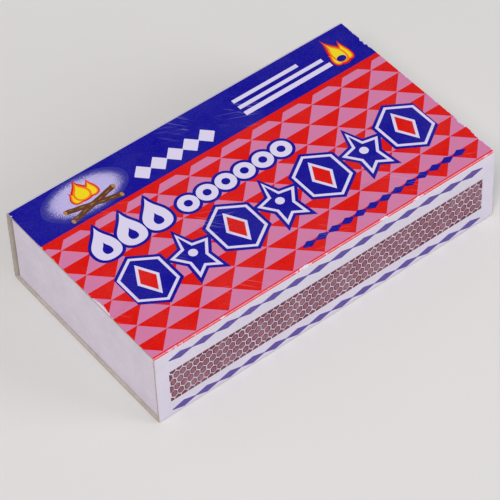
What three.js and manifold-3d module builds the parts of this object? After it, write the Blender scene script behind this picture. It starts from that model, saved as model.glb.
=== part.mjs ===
// A kitchen matchbox full of wooden matches: a printed card sleeve with a striking coat on each long side,
// and a card tray of matches that slides out of either end of it.
// Lengths are in millimetres. X runs along the box, the way the tray slides, Y across it and Z up.
// The origin is at the middle of the box's underside.
import * as THREE from "three";
import { mergeVertices } from "three/addons/utils/BufferGeometryUtils.js";
import Module from "manifold-3d";

// Sleeve: one sheet of card folded round into a tube and glued at a lap inside its back wall. Its width
// follows from the matches that lie across it.
const sleeveLength = 113;
const sleeveHeight = 25.5;
const cardThickness = 0.5;
const foldRadius = 0.8;
const lapShortOfTop = 1.6;
const cutEdgeHeight = 0.3;

// Tray: one sheet of card folded up, with glued tabs behind each end wall.
const trayEndRecess = 0.6;
const traySideClearance = 0.35;
const trayFloorClearance = 0.25;
const trayTopClearance = 0.35;
const trayCard = 0.5;
const tabLength = 15;
const tabTopSlope = 3;

// Striking coats on the two long sides, and how far they stay from the sleeve's edges.
const coatThickness = 0.1;
const coatFromEnds = 4.1;
const coatFromTop = 8.2;
const coatFromBottom = 5.9;

// Matches: square splints with dipped heads, lying across the tray in full rows with a few loose ones on top.
// A head is widest a third of the way from its tip, and its neck is hardly wider than the splint.
const splintThickness = 2.1;
const splintLength = 60;
const matchEndClearance = 0.6;
const headWidth = 3;
const headLength = 5.2;
const headOverhang = 0.6;
const headTipShare = 0.5;
const headWidestAt = 0.35;
const neckOverSplint = 1.02;
const rowCount = 6;
const rowPitch = 2.75;
const rowShift = 0.7;
const pressedOverlap = 0.04;
const topRowHeadHeight = 2.8;
const looseCount = 16;
const looseTurnDegrees = 2.4;
const looseDrift = 0.25;
const restGap = 0.25;

// Print on the sleeve's top, each field of ink a thin layer, laid out from the top's back left corner.
const ink = 0.0625;
const bandWidth = 16;
const triangleWidth = 10.38;
const triangleHeight = 5.4;
const triangleOverlap = 0.12;
const firstTriangleLine = 4.4;
const firstTriangleLeft = 3.5;
const plainRedStrip = 1.7;

// The large row of hexagons and stars. Each hexagon has a lozenge cut out of it, its eye.
const tileCount = 7;
const tileRowLeft = 8.3;
const tileRowFromRight = 5.7;
const tileRowBack = 32.6;
const tileRowFromFront = 12.4;
const tileOverlap = 1;
const tileOutline = 0.9;
const tileLine = 0.8;
const tileEyeWidth = 5;
const tileEyeHeight = 9;
const starWaist = 0.52;
const starInradius = 0.55;

// The row of white flames and the string of white beads beside it.
const flameCount = 3;
const flameLeft = 9;
const flameWidth = 7.8;
const flameSpacing = 8.2;
const flameBack = 19.2;
const flameFront = 31.2;
const beadCount = 6;
const beadLeft = 36;
const beadRight = 72.6;
const beadBack = 25;
const beadFront = 31;

// On the blue band: a camp fire in a pale glow, a string of lozenges, two bars and a burning match.
const glowLeft = 6.2;
const glowRight = 33;
const glowBack = 1;
const glowFront = 15.4;
const logLength = 16;
const logThickness = 1.9;
const logTurnDegrees = 14;
const logCentre = 12.3;
const fireWidth = 9.4;
const fireBack = 1.8;
const fireFront = 10.3;
const lozengeCount = 5;
const lozengeLeft = 33.6;
const lozengeRight = 60.2;
const lozengeBack = 8.5;
const lozengeFront = 14.3;
const barLeft = 70.6;
const barsFromRight = [20, 13.4];
const barBacks = [5.3, 8.1];
const barThickness = 1.3;
const stickFromRight = 12.4;
const stickBack = 10.7;
const stickFront = 12.3;
const matchFlameFromRight = 8.4;
const matchFlameWidth = 7.4;
const matchFlameBack = 1.4;
const matchFlameFront = 14.2;
const innerFlameShare = 0.55;
const innerFlameMargin = 0.18;

// The string of small lozenges near the front edge, and the borders above and below each striking coat.
const edgeStringCount = 13;
const edgeStringLeft = 52;
const edgeStringFromRight = 5.7;
const edgeStringFromFront = 4.4;
const edgeStringWidth = 2.4;
const sideBorderCount = 14;
const sideBorderFromEnds = 4.3;
const sideBorderHeight = 2.6;
const upperBorderFromTop = 2.4;
const lowerBorderFromBottom = 1;
const stringLink = 0.3;

// Sizes that follow from the ones above.
const matchLength = splintLength + headOverhang;
const trayLength = sleeveLength - 2 * trayEndRecess;
const trayInsideLength = trayLength - 4 * trayCard;
const trayWidth = matchLength + 2 * matchEndClearance + 2 * trayCard;
const sleeveWidth = trayWidth + 2 * traySideClearance + 3 * cardThickness;
const trayHeight = sleeveHeight - 2 * cardThickness - trayFloorClearance - trayTopClearance;
const trayCentreY = -cardThickness / 2;
const trayBase = cardThickness + trayFloorClearance;
const trayFloor = trayBase + trayCard;
const matchesPerRow = Math.floor((trayInsideLength - 2 * (rowShift + restGap)) / rowPitch);
const loosePitch = trayInsideLength / looseCount;
const matchBackY = trayCentreY + matchLength / 2;
const buriedRise = splintThickness + restGap;
const topRowRise = (splintThickness + topRowHeadHeight) / 2 + restGap;
const looseRise = (topRowHeadHeight + headWidth) / 2 + restGap;
const topRowHeight = (rowCount - 2) * buriedRise + topRowRise;

const arcSteps = 5;
const roundSides = 20;
const pressedHeadSides = 4;
const looseHeadSides = 8;

const wasm = await Module();
wasm.setup();

const colours = {
  whiteCard: { color: 0xdcd6e0, roughness: 0.62 },
  greyCard: { color: 0xd8d2cc, roughness: 0.85 },
  coat: { color: 0x7a2f3f, roughness: 0.95 },
  violetInk: { color: 0x5a4696, roughness: 0.4 },
  blueInk: { color: 0x1b1490, roughness: 0.35 },
  redInk: { color: 0xd01c0e, roughness: 0.35 },
  pinkInk: { color: 0xd681ab, roughness: 0.38 },
  whiteInk: { color: 0xe0dcf2, roughness: 0.38 },
  yellowInk: { color: 0xebd510, roughness: 0.38 },
  brownInk: { color: 0x5c3317, roughness: 0.38 },
  wood: { color: 0xe2c79a, roughness: 0.8 },
};

function materialOf({ color, roughness }) {
  return new THREE.MeshStandardMaterial({ color, roughness, metalness: 0 });
}

// A closed geometry as a solid that can be joined and cut.
function solidOf(geometry) {
  const bare = geometry.index ? geometry.toNonIndexed() : geometry.clone();
  bare.deleteAttribute("normal");
  bare.deleteAttribute("uv");
  const merged = mergeVertices(bare, 1e-4);
  return new wasm.Manifold(
    new wasm.Mesh({
      numProp: 3,
      vertProperties: new Float32Array(merged.attributes.position.array),
      triVerts: new Uint32Array(merged.index.array),
    }),
  );
}

function geometryOf(solid) {
  const mesh = solid.getMesh();
  return new THREE.BufferGeometry()
    .setAttribute("position", new THREE.BufferAttribute(new Float32Array(mesh.vertProperties), 3))
    .setIndex(new THREE.BufferAttribute(new Uint32Array(mesh.triVerts), 1));
}

// The directions that a shape's own x, y and normal take for a prism along each axis.
const prismBases = {
  x: [new THREE.Vector3(0, 1, 0), new THREE.Vector3(0, 0, 1), new THREE.Vector3(1, 0, 0)],
  y: [new THREE.Vector3(1, 0, 0), new THREE.Vector3(0, 0, 1), new THREE.Vector3(0, -1, 0)],
  z: [new THREE.Vector3(1, 0, 0), new THREE.Vector3(0, 1, 0), new THREE.Vector3(0, 0, 1)],
};

// A shape drawn out along an axis, with the middle of its length at the origin.
function prism(shape, length, axis, curveSegments = arcSteps) {
  const geometry = new THREE.ExtrudeGeometry(shape, { depth: length, bevelEnabled: false, curveSegments });
  geometry.translate(0, 0, -length / 2);
  return geometry.applyMatrix4(new THREE.Matrix4().makeBasis(...prismBases[axis]));
}

// A flat field that stands on the height given.
function plate(shape, base, thickness, curveSegments = arcSteps) {
  return prism(shape, thickness, "z", curveSegments).translate(0, 0, base + thickness / 2);
}

function polygon(points) {
  return new THREE.Shape(points.map(([x, y]) => new THREE.Vector2(x, y)));
}

function rectangle(left, right, low, high) {
  return polygon([
    [left, low],
    [right, low],
    [right, high],
    [left, high],
  ]);
}

// A rectangle with rounded corners. The radii are those of its low left, low right, high right and high left.
function roundedRectangle(left, right, low, high, [lowLeft, lowRight, highRight, highLeft]) {
  const shape = new THREE.Shape();
  const quarter = Math.PI / 2;
  shape.moveTo(left + lowLeft, low);
  shape.lineTo(right - lowRight, low);
  if (lowRight) shape.absarc(right - lowRight, low + lowRight, lowRight, -quarter, 0);
  shape.lineTo(right, high - highRight);
  if (highRight) shape.absarc(right - highRight, high - highRight, highRight, 0, quarter);
  shape.lineTo(left + highLeft, high);
  if (highLeft) shape.absarc(left + highLeft, high - highLeft, highLeft, quarter, 2 * quarter);
  shape.lineTo(left, low + lowLeft);
  if (lowLeft) shape.absarc(left + lowLeft, low + lowLeft, lowLeft, 2 * quarter, 3 * quarter);
  return shape;
}

// The sleeve's section. Its back wall is two cards thick: the outer panel comes down over the glue lap, and
// its cut edge stays a little above the underside.
function sleeveSection() {
  const half = sleeveWidth / 2;
  const lapFace = half - cardThickness;
  const quarter = Math.PI / 2;
  const lapTurn = Math.asin((cutEdgeHeight - foldRadius) / foldRadius);
  const outline = new THREE.Shape();
  outline.moveTo(-half + foldRadius, 0);
  outline.lineTo(lapFace - foldRadius, 0);
  outline.absarc(lapFace - foldRadius, foldRadius, foldRadius, -quarter, lapTurn);
  outline.lineTo(half, cutEdgeHeight);
  outline.lineTo(half, sleeveHeight - foldRadius);
  outline.absarc(half - foldRadius, sleeveHeight - foldRadius, foldRadius, 0, quarter);
  outline.lineTo(-half + foldRadius, sleeveHeight);
  outline.absarc(-half + foldRadius, sleeveHeight - foldRadius, foldRadius, quarter, 2 * quarter);
  outline.lineTo(-half, foldRadius);
  outline.absarc(-half + foldRadius, foldRadius, foldRadius, 2 * quarter, 3 * quarter);

  const top = sleeveHeight - cardThickness;
  const lapTop = top - lapShortOfTop;
  const inside = new THREE.Path();
  inside.moveTo(-half + cardThickness, cardThickness);
  inside.lineTo(lapFace - cardThickness, cardThickness);
  inside.lineTo(lapFace - cardThickness, lapTop);
  inside.lineTo(lapFace, lapTop);
  inside.lineTo(lapFace, top);
  inside.lineTo(-half + cardThickness, top);
  inside.closePath();
  outline.holes.push(inside);
  return outline;
}

function sleeve() {
  return prism(sleeveSection(), sleeveLength, "x");
}

// The tray stands on z = 0 here and is lifted into the sleeve when it is placed. Its bottom and end walls
// are one strip folded up. Its side walls fold up from the same bottom, with tabs that turn in behind the
// end walls.
function tray() {
  const halfLength = trayLength / 2;
  const halfWidth = trayWidth / 2;
  const wallEnd = halfLength - trayCard;
  const wallSide = halfWidth - trayCard;
  const folds = [foldRadius, foldRadius, 0, 0];
  const acrossBlock = solidOf(
    prism(roundedRectangle(-halfWidth, halfWidth, 0, trayHeight, folds), trayLength, "x"),
  );
  const alongBlock = solidOf(
    prism(roundedRectangle(-halfLength, halfLength, 0, trayHeight, folds), trayWidth, "y"),
  );
  const hollow = new THREE.BoxGeometry(2 * wallEnd, 2 * wallSide, trayHeight);
  hollow.translate(0, 0, trayHeight / 2 + trayCard);
  const shell = acrossBlock.intersect(alongBlock).subtract(solidOf(hollow));

  const tabTop = trayHeight - tabTopSlope;
  const corners = [-1, 1].flatMap((end) => [-1, 1].map((side) => {
    const tab = polygon([
      [side * (wallSide - tabLength), trayCard / 2],
      [side * (wallSide + trayCard / 2), trayCard / 2],
      [side * (wallSide + trayCard / 2), trayHeight],
      [side * (wallSide - foldRadius), trayHeight],
      [side * (wallSide - tabLength), tabTop],
    ]);
    return solidOf(prism(tab, 2 * trayCard, "x").translate(end * wallEnd, 0, 0));
  }));
  return geometryOf(wasm.Manifold.union([shell, ...corners]).intersect(alongBlock));
}

function strikingCoat(side) {
  const halfLength = sleeveLength / 2 - coatFromEnds;
  const shape = rectangle(-halfLength, halfLength, coatFromBottom, sleeveHeight - coatFromTop);
  return prism(shape, coatThickness, "y").translate(0, side * (sleeveWidth / 2 + coatThickness / 2), 0);
}

// One match along Y with its head towards -Y, centred on its own length at the origin.
// The head has flat sides facing along X, headAcross apart, and is headTall from top to bottom.
function matchSolid(headAcross, headTall, headSides) {
  const neck = (splintThickness * neckOverSplint) / headAcross;
  const outline = [
    [0, 0],
    [headTipShare, 0],
    [1, headLength * headWidestAt],
    [neck, headLength],
    [0, headLength],
  ].map(([radius, y]) => new THREE.Vector2(radius, y - matchLength / 2));
  const flat = Math.cos(Math.PI / headSides);
  const head = new THREE.LatheGeometry(outline, headSides, Math.PI / headSides);
  head.scale(headAcross / 2 / flat, 1, headTall / 2 / flat);

  const splintStart = headLength / 2 - matchLength / 2;
  const splintEnd = matchLength / 2;
  const splint = new THREE.BoxGeometry(splintThickness, splintEnd - splintStart, splintThickness);
  splint.translate(0, (splintStart + splintEnd) / 2, 0);
  return solidOf(splint).add(solidOf(head));
}

// Where the matches of a row lie along the tray, evenly about its middle.
function places(count, pitch) {
  return Array.from({ length: count }, (_, i) => (i - (count - 1) / 2) * pitch);
}

// The uppermost full row: matches side by side with their heads pressed together.
function fullRow() {
  const one = matchSolid(rowPitch + pressedOverlap, topRowHeadHeight, pressedHeadSides);
  const row = places(matchesPerRow, rowPitch).map((x) => one.translate([x, 0, 0]));
  return geometryOf(wasm.Manifold.union(row));
}

// A row under it, which is buried: the same plan, at the splints' own thickness.
function buriedRow() {
  const front = -matchLength / 2;
  const neck = front + headLength;
  const back = matchLength / 2;
  const halfSplint = splintThickness / 2;
  const halfHead = (matchesPerRow * rowPitch) / 2;
  const outline = [[-halfHead, front]];
  outline.push([halfHead, front], [halfHead, neck]);
  for (const x of places(matchesPerRow, rowPitch).reverse()) {
    const right = x + halfSplint;
    const left = x - halfSplint;
    outline.push([right, neck], [right, back], [left, back], [left, neck]);
  }
  outline.push([-halfHead, neck]);
  return prism(polygon(outline), splintThickness, "z");
}

function looseMatch() {
  return geometryOf(matchSolid(headWidth, headWidth, looseHeadSides));
}

function printX(x) {
  return x - sleeveLength / 2;
}

function printY(y) {
  return sleeveWidth / 2 - y;
}

// A field of ink on the top, level counting the layers under it.
function inkField(shape, level = 0) {
  return plate(shape, sleeveHeight + level * ink, ink);
}

function printRectangle(left, right, back, front) {
  return rectangle(printX(left), printX(right), printY(front), printY(back));
}

function blueBand() {
  return inkField(printRectangle(0, sleeveLength, foldRadius, bandWidth));
}

function redField() {
  return inkField(printRectangle(0, sleeveLength, bandWidth, sleeveWidth - foldRadius));
}

// Rows of triangles that touch at their corners, each row half a triangle along from the one behind it.
function pinkTriangles() {
  const firstLine = bandWidth + firstTriangleLine;
  const fieldFront = sleeveWidth - foldRadius;
  const rowsInFront = Math.round((fieldFront - firstLine) / triangleHeight);
  const rowHeight = (fieldFront - firstLine) / rowsInFront;
  const acrossCount = Math.ceil(sleeveLength / triangleWidth) + 2;
  const triangles = [];
  for (let line = 0; line <= rowsInFront; line++) {
    const front = firstLine + line * rowHeight;
    const shift = line % 2 ? triangleWidth / 2 : 0;
    for (let i = -1; i < acrossCount; i++) {
      const left = firstTriangleLeft + i * triangleWidth - shift;
      const shape = polygon([
        [printX(left - triangleOverlap), printY(front)],
        [printX(left + triangleWidth + triangleOverlap), printY(front)],
        [printX(left + triangleWidth / 2 + triangleOverlap), printY(front - rowHeight)],
        [printX(left + triangleWidth / 2 - triangleOverlap), printY(front - rowHeight)],
      ]);
      triangles.push(solidOf(inkField(shape, 1)));
    }
  }
  const field = printRectangle(0, sleeveLength, bandWidth + plainRedStrip, fieldFront);
  return geometryOf(wasm.Manifold.union(triangles).intersect(solidOf(inkField(field, 1))));
}

function pointsRound(count, radiusAt, turn, halfWidth, halfHeight, centreX, centreY) {
  return Array.from({ length: count }, (_, i) => {
    const angle = turn + (i / count) * 2 * Math.PI;
    const across = radiusAt(i) * halfWidth * Math.cos(angle);
    const up = radiusAt(i) * halfHeight * Math.sin(angle);
    return [centreX + across, centreY + up];
  });
}

function ovalPoints(halfWidth, halfHeight, centreX, centreY) {
  return pointsRound(roundSides, () => 1, 0, halfWidth, halfHeight, centreX, centreY);
}

function hexagonPoints(halfWidth, halfHeight, centreX, centreY) {
  const across = halfWidth / Math.cos(Math.PI / 6);
  return pointsRound(6, () => 1, Math.PI / 2, across, halfHeight, centreX, centreY);
}

function lozengePoints(halfWidth, halfHeight, centreX, centreY) {
  return pointsRound(4, () => 1, 0, halfWidth, halfHeight, centreX, centreY);
}

// A star of five points that fills its box from side to side and from top to bottom.
function starPoints(halfWidth, halfHeight, centreX, centreY) {
  const across = halfWidth / Math.cos(Math.PI / 10);
  const lowPoint = Math.cos(Math.PI / 5);
  const radius = (2 * halfHeight) / (1 + lowPoint);
  const middle = centreY + halfHeight - radius;
  return pointsRound(10, (i) => (i % 2 ? starWaist : 1), Math.PI / 2, across, radius, centreX, middle);
}

function tileRowFront() {
  return sleeveWidth - tileRowFromFront;
}

function tileSpacing() {
  return (sleeveLength - tileRowFromRight - tileRowLeft) / tileCount;
}

function tileCentre(i) {
  return [printX(tileRowLeft + (i + 0.5) * tileSpacing()), printY((tileRowFront() + tileRowBack) / 2)];
}

function isStar(i) {
  return i % 2 === 1;
}

// The tiles of the large row, hexagons and stars by turns. Each is smaller than its place by the inset.
function tilePoints(i, inset) {
  const halfWidth = (tileSpacing() + tileOverlap) / 2;
  const halfHeight = (tileRowFront() - tileRowBack) / 2;
  const share = 1 - inset / (isStar(i) ? halfWidth * starInradius : halfWidth);
  const points = isStar(i) ? starPoints : hexagonPoints;
  return points(halfWidth * share, halfHeight * share, ...tileCentre(i));
}

function tileRow() {
  const tiles = Array.from({ length: tileCount }, (_, i) => {
    const shape = polygon(tilePoints(i, 0));
    const eye = lozengePoints(tileEyeWidth / 2, tileEyeHeight / 2, ...tileCentre(i));
    if (!isStar(i)) shape.holes.push(polygon(eye));
    return solidOf(inkField(shape, 2));
  });
  return geometryOf(wasm.Manifold.union(tiles));
}

function tileRing(i) {
  const shape = polygon(tilePoints(i, tileOutline));
  shape.holes.push(polygon(tilePoints(i, tileOutline + tileLine)));
  return inkField(shape, 3);
}

// A string of lozenges that join at their corners, as one zigzag outline.
function lozengeString(count, left, right, low, high) {
  const spacing = (right - left) / count;
  const middle = (low + high) / 2;
  const upper = [];
  for (let i = 0; i < count; i++) {
    upper.push([left + i * spacing, middle + stringLink / 2], [left + (i + 0.5) * spacing, high]);
  }
  upper.push([right, middle + stringLink / 2]);
  const lower = upper.map(([x, y]) => [x, 2 * middle - y]);
  return polygon([...upper.reverse(), ...lower]);
}

function printedString(count, left, right, back, front) {
  return lozengeString(count, printX(left), printX(right), printY(front), printY(back));
}

function beadString() {
  const spacing = (beadRight - beadLeft) / beadCount;
  const beads = Array.from({ length: beadCount }, (_, i) => {
    const x = printX(beadLeft + (i + 0.5) * spacing);
    const y = printY((beadFront + beadBack) / 2);
    const oval = ovalPoints(spacing / 2 + stringLink, (beadFront - beadBack) / 2, x, y);
    return solidOf(inkField(polygon(oval), 2));
  });
  return geometryOf(wasm.Manifold.union(beads));
}

// A plain flame: a round foot that narrows to a tip, which may lean to one side. Its belly is widest at a
// third of its height. The curves are drawn in a box from -1 to 1 across and from 0 to 1 up.
function flameShape(centreX, back, front, width, lean) {
  const foot = printY(front);
  const tall = printY(back) - foot;
  const place = (across, up) => [centreX + (across * width) / 2, foot + up * tall];
  const tip = [centreX + lean, foot + tall];
  const belly = 0.32;
  const shape = new THREE.Shape();
  shape.moveTo(...tip);
  shape.bezierCurveTo(...place(-0.2, 0.65), ...place(-1, 0.6), ...place(-1, belly));
  shape.bezierCurveTo(...place(-1, 0.08), ...place(-0.55, 0), ...place(0, 0));
  shape.bezierCurveTo(...place(0.55, 0), ...place(1, 0.08), ...place(1, belly));
  shape.bezierCurveTo(...place(1, 0.6), tip[0], foot + 0.7 * tall, ...tip);
  return shape;
}

// The yellow heart of a flame, in its lower part.
function innerFlameShape(centreX, back, front, width, lean) {
  const margin = innerFlameMargin * width;
  const innerBack = front - (front - back) * innerFlameShare - margin;
  return flameShape(centreX, innerBack, front - margin, width * innerFlameShare, lean * innerFlameShare);
}

function whiteFlame(i) {
  const centre = printX(flameLeft + flameWidth / 2 + i * flameSpacing);
  return inkField(flameShape(centre, flameBack, flameFront, flameWidth, flameWidth * 0.2), 2);
}

function campFireCentre(y) {
  return [printX((glowLeft + glowRight) / 2), printY(y)];
}

function campFireGlow() {
  const centre = campFireCentre((glowFront + glowBack) / 2);
  const oval = ovalPoints((glowRight - glowLeft) / 2, (glowFront - glowBack) / 2, ...centre);
  return inkField(polygon(oval), 1);
}

function campFireLogs() {
  const turn = THREE.MathUtils.degToRad(logTurnDegrees);
  const logs = [-turn, turn].map((angle) => {
    const log = rectangle(-logLength / 2, logLength / 2, -logThickness / 2, logThickness / 2);
    return solidOf(inkField(log, 2).rotateZ(angle).translate(...campFireCentre(logCentre), 0));
  });
  return geometryOf(logs[0].add(logs[1]));
}

function campFire(shapeOf, level) {
  return inkField(shapeOf(campFireCentre(0)[0], fireBack, fireFront, fireWidth, fireWidth * 0.06), level);
}

function matchFlame(shapeOf, level) {
  const centre = printX(sleeveLength - matchFlameFromRight);
  const lean = -matchFlameWidth * 0.1;
  return inkField(shapeOf(centre, matchFlameBack, matchFlameFront, matchFlameWidth, lean), level);
}

// A border of lozenges along the side given, with its lower edge at the height given.
function sideBorder(side, low) {
  const halfLength = sleeveLength / 2 - sideBorderFromEnds;
  const shape = lozengeString(sideBorderCount, -halfLength, halfLength, low, low + sideBorderHeight);
  return prism(shape, ink, "y").translate(0, side * (sleeveWidth / 2 + ink / 2), 0);
}

function meshNamed(name, geometry, look) {
  const mesh = new THREE.Mesh(geometry, materialOf(look));
  mesh.name = name;
  return mesh;
}

function tileMeshes() {
  const rings = Array.from({ length: tileCount }, (_, i) =>
    meshNamed(`print_tile_line_${i + 1}`, tileRing(i), colours.whiteInk),
  );
  return [meshNamed("print_tile_row", tileRow(), colours.blueInk), ...rings];
}

function redFieldMeshes() {
  const flames = Array.from({ length: flameCount }, (_, i) =>
    meshNamed(`print_white_flame_${i + 1}`, whiteFlame(i), colours.whiteInk),
  );
  const edgeStringFront = sleeveWidth - edgeStringFromFront;
  const edgeString = printedString(
    edgeStringCount,
    edgeStringLeft,
    sleeveLength - edgeStringFromRight,
    edgeStringFront - edgeStringWidth,
    edgeStringFront,
  );
  return [
    meshNamed("print_red_field", redField(), colours.redInk),
    meshNamed("print_pink_triangles", pinkTriangles(), colours.pinkInk),
    meshNamed("print_white_beads", beadString(), colours.whiteInk),
    meshNamed("print_edge_string", inkField(edgeString, 2), colours.blueInk),
    ...tileMeshes(),
    ...flames,
  ];
}

function blueBandMeshes() {
  const bars = barsFromRight.map((fromRight, i) => {
    const right = sleeveLength - fromRight;
    const bar = printRectangle(barLeft, right, barBacks[i], barBacks[i] + barThickness);
    return meshNamed(`print_white_bar_${i + 1}`, inkField(bar, 1), colours.whiteInk);
  });
  const stick = printRectangle(barLeft, sleeveLength - stickFromRight, stickBack, stickFront);
  const lozenges = printedString(lozengeCount, lozengeLeft, lozengeRight, lozengeBack, lozengeFront);
  return [
    meshNamed("print_blue_band", blueBand(), colours.blueInk),
    meshNamed("print_fire_glow", campFireGlow(), colours.whiteInk),
    meshNamed("print_fire_logs", campFireLogs(), colours.brownInk),
    meshNamed("print_fire_flame", campFire(flameShape, 2), colours.redInk),
    meshNamed("print_fire_heart", campFire(innerFlameShape, 3), colours.yellowInk),
    meshNamed("print_white_lozenges", inkField(lozenges, 1), colours.whiteInk),
    meshNamed("print_match_stick", inkField(stick, 1), colours.whiteInk),
    meshNamed("print_match_flame", matchFlame(flameShape, 1), colours.redInk),
    meshNamed("print_match_heart", matchFlame(innerFlameShape, 2), colours.yellowInk),
    ...bars,
  ];
}

function sideMeshes() {
  const upperLow = sleeveHeight - upperBorderFromTop - sideBorderHeight;
  return Object.entries({ front: -1, back: 1 }).flatMap(([name, side]) => [
    meshNamed(`striker_${name}`, strikingCoat(side), colours.coat),
    meshNamed(`print_${name}_upper`, sideBorder(side, upperLow), colours.violetInk),
    meshNamed(`print_${name}_lower`, sideBorder(side, lowerBorderFromBottom), colours.violetInk),
  ]);
}

// The sleeve with everything that is printed or coated on it.
function sleeveGroup() {
  const group = new THREE.Group();
  group.add(meshNamed("sleeve", sleeve(), colours.whiteCard));
  group.add(...blueBandMeshes(), ...redFieldMeshes(), ...sideMeshes());
  return group;
}

function matchRows() {
  const group = new THREE.Group();
  for (let row = 0; row < rowCount; row++) {
    const uppermost = row === rowCount - 1;
    const mesh = meshNamed(`match_row_${row + 1}`, uppermost ? fullRow() : buriedRow(), colours.wood);
    mesh.position.set(row % 2 ? rowShift : -rowShift, 0, uppermost ? topRowHeight : row * buriedRise);
    group.add(mesh);
  }
  return group;
}

// The matches on top lie loose: each is turned and pushed along a little differently.
function looseMatches() {
  const group = new THREE.Group();
  const geometry = looseMatch();
  places(looseCount, loosePitch).forEach((x, i) => {
    const name = `match_${String(i + 1).padStart(2, "0")}`;
    const mesh = meshNamed(name, geometry, colours.wood);
    mesh.position.set(x, looseDrift * Math.sin(i * 5.1), topRowHeight + looseRise);
    mesh.rotation.z = THREE.MathUtils.degToRad(looseTurnDegrees) * Math.sin(i * 2.3);
    group.add(mesh);
  });
  return group;
}

function trayGroup() {
  const group = new THREE.Group();
  const trayMesh = meshNamed("tray", tray(), colours.greyCard);
  trayMesh.position.set(0, trayCentreY, trayBase);
  const matches = new THREE.Group();
  matches.add(matchRows(), looseMatches());
  matches.position.set(0, matchBackY - matchLength / 2, trayFloor + restGap + splintThickness / 2);
  group.add(trayMesh, matches);
  return group;
}

const matchbox = new THREE.Group();
matchbox.add(sleeveGroup(), trayGroup());

export default matchbox;
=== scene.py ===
"""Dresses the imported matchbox: folded board, thin ink, striking dots, a folded tray and its matches."""

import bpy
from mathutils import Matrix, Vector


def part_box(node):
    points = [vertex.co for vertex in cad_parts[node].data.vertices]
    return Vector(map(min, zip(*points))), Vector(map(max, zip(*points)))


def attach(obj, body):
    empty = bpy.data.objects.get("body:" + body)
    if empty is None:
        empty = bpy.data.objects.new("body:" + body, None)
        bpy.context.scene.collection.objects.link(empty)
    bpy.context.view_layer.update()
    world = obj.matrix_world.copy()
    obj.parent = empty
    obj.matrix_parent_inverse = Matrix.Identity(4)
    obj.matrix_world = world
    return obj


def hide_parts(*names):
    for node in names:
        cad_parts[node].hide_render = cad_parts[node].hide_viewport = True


bl_info = {
    "name": "Kitchen Matchbox",
    "version": (1, 0, 0),
    "blender": (4, 5, 0),
    "location": "View3D > Sidebar > Matchbox",
    "description": "Builds a kitchen matchbox with its printed sleeve, its tray and its matches",
    "category": "Add Mesh",
}

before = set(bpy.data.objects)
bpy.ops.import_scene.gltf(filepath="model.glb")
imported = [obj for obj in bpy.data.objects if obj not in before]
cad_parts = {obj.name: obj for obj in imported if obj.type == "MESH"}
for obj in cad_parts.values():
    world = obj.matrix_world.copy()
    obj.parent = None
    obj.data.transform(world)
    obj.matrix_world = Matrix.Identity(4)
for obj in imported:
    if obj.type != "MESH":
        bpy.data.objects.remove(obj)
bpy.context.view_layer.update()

import math
from random import Random

import bmesh
import bpy
from bpy.props import FloatProperty, FloatVectorProperty, IntProperty, PointerProperty
from mathutils import Euler, Matrix, Vector, noise

MM = 0.001
HALF_LENGTH, HALF_WIDTH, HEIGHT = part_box("sleeve")[1]
# Faces round each fold of the board
FOLD_STEPS = 7
# Faces that meet at more than this angle show a crease
BOARD_CREASE = math.radians(32)
MATCH_CREASE = math.radians(40)
# Layers of ink by which every other shape of a row is raised, so that its neighbours can overlap it
NEIGHBOUR_LIFT = 0.3
ROW_COUNT = sum(name.startswith("match_row_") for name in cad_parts)
LOOSE_COUNT = sum(name.startswith("match_") and name[6:].isdigit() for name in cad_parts)
TILE_COUNT = sum(name.startswith("print_tile_line_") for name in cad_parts)
WHITE_BAR_COUNT = sum(name.startswith("print_white_bar_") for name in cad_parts)
WHITE_FLAME_COUNT = sum(name.startswith("print_white_flame_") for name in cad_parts)


def tint(*screen_values):
    """The linear values, as shaders take them, of a colour given in screen values from 0 to 255."""
    shares = (v / 255 for v in screen_values)
    return tuple(((v + 0.055) / 1.055) ** 2.4 if v > 0.04 else v / 12.92 for v in shares)


def length(name, description, millimetres):
    return FloatProperty(
        name=name, description=description, default=millimetres * MM, unit="LENGTH", precision=5
    )


def turning(name, description, degrees):
    return FloatProperty(
        name=name, description=description, default=math.radians(degrees), subtype="ANGLE"
    )


def whole_number(name, description, default, least=1):
    return IntProperty(name=name, description=description, default=default, min=least)


def power(name, description, watts):
    return FloatProperty(name=name, description=description, default=watts, min=0, subtype="POWER")


def share(name, description, default):
    return FloatProperty(
        name=name, description=description, default=default, min=0, max=1, subtype="FACTOR"
    )


def colour(name, description, screen_values):
    return FloatVectorProperty(
        name=name, description=description, default=tint(*screen_values), min=0, max=1, subtype="COLOR"
    )


class SleeveSettings(bpy.types.PropertyGroup):
    board: length("Board", "Thickness of the sleeve's board", 0.5)
    fold: length("Fold", "Radius of a fold's outer side", 0.8)
    glue_line: length("Glue line", "Gap at the lap, where the glue shows", 0.03)
    cut_edge_height: length("Cut edge", "Height of the outer back panel's cut edge", 0.3)
    lap_short_of_top: length("Lap", "How far the glue lap stays under the top panel", 1.6)
    top_sag: length("Top sag", "How far the middle of the top panel has sunk in", 0.16)
    side_sag: length("Side sag", "How far the middle of a side panel has sunk in", 0.12)
    ripple: length("Ripple", "Height of the board's soft waves", 0.035)
    end_bend: length("End bend", "How far a panel's free end bends in", 0.12)
    corner_crush: length("Corner crush", "How far the corners of the ends are pushed in", 0.6)
    mesh_step: length("Mesh step", "Size of the faces that follow the panels' waves", 3)
    face_colour: colour("Face", "Coated white face of the board", (214, 207, 224))
    inside_colour: colour("Inside", "Uncoated inner face of the board", (205, 196, 188))
    edge_colour: colour("Edge", "Cut edge of the board", (196, 184, 172))


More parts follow.
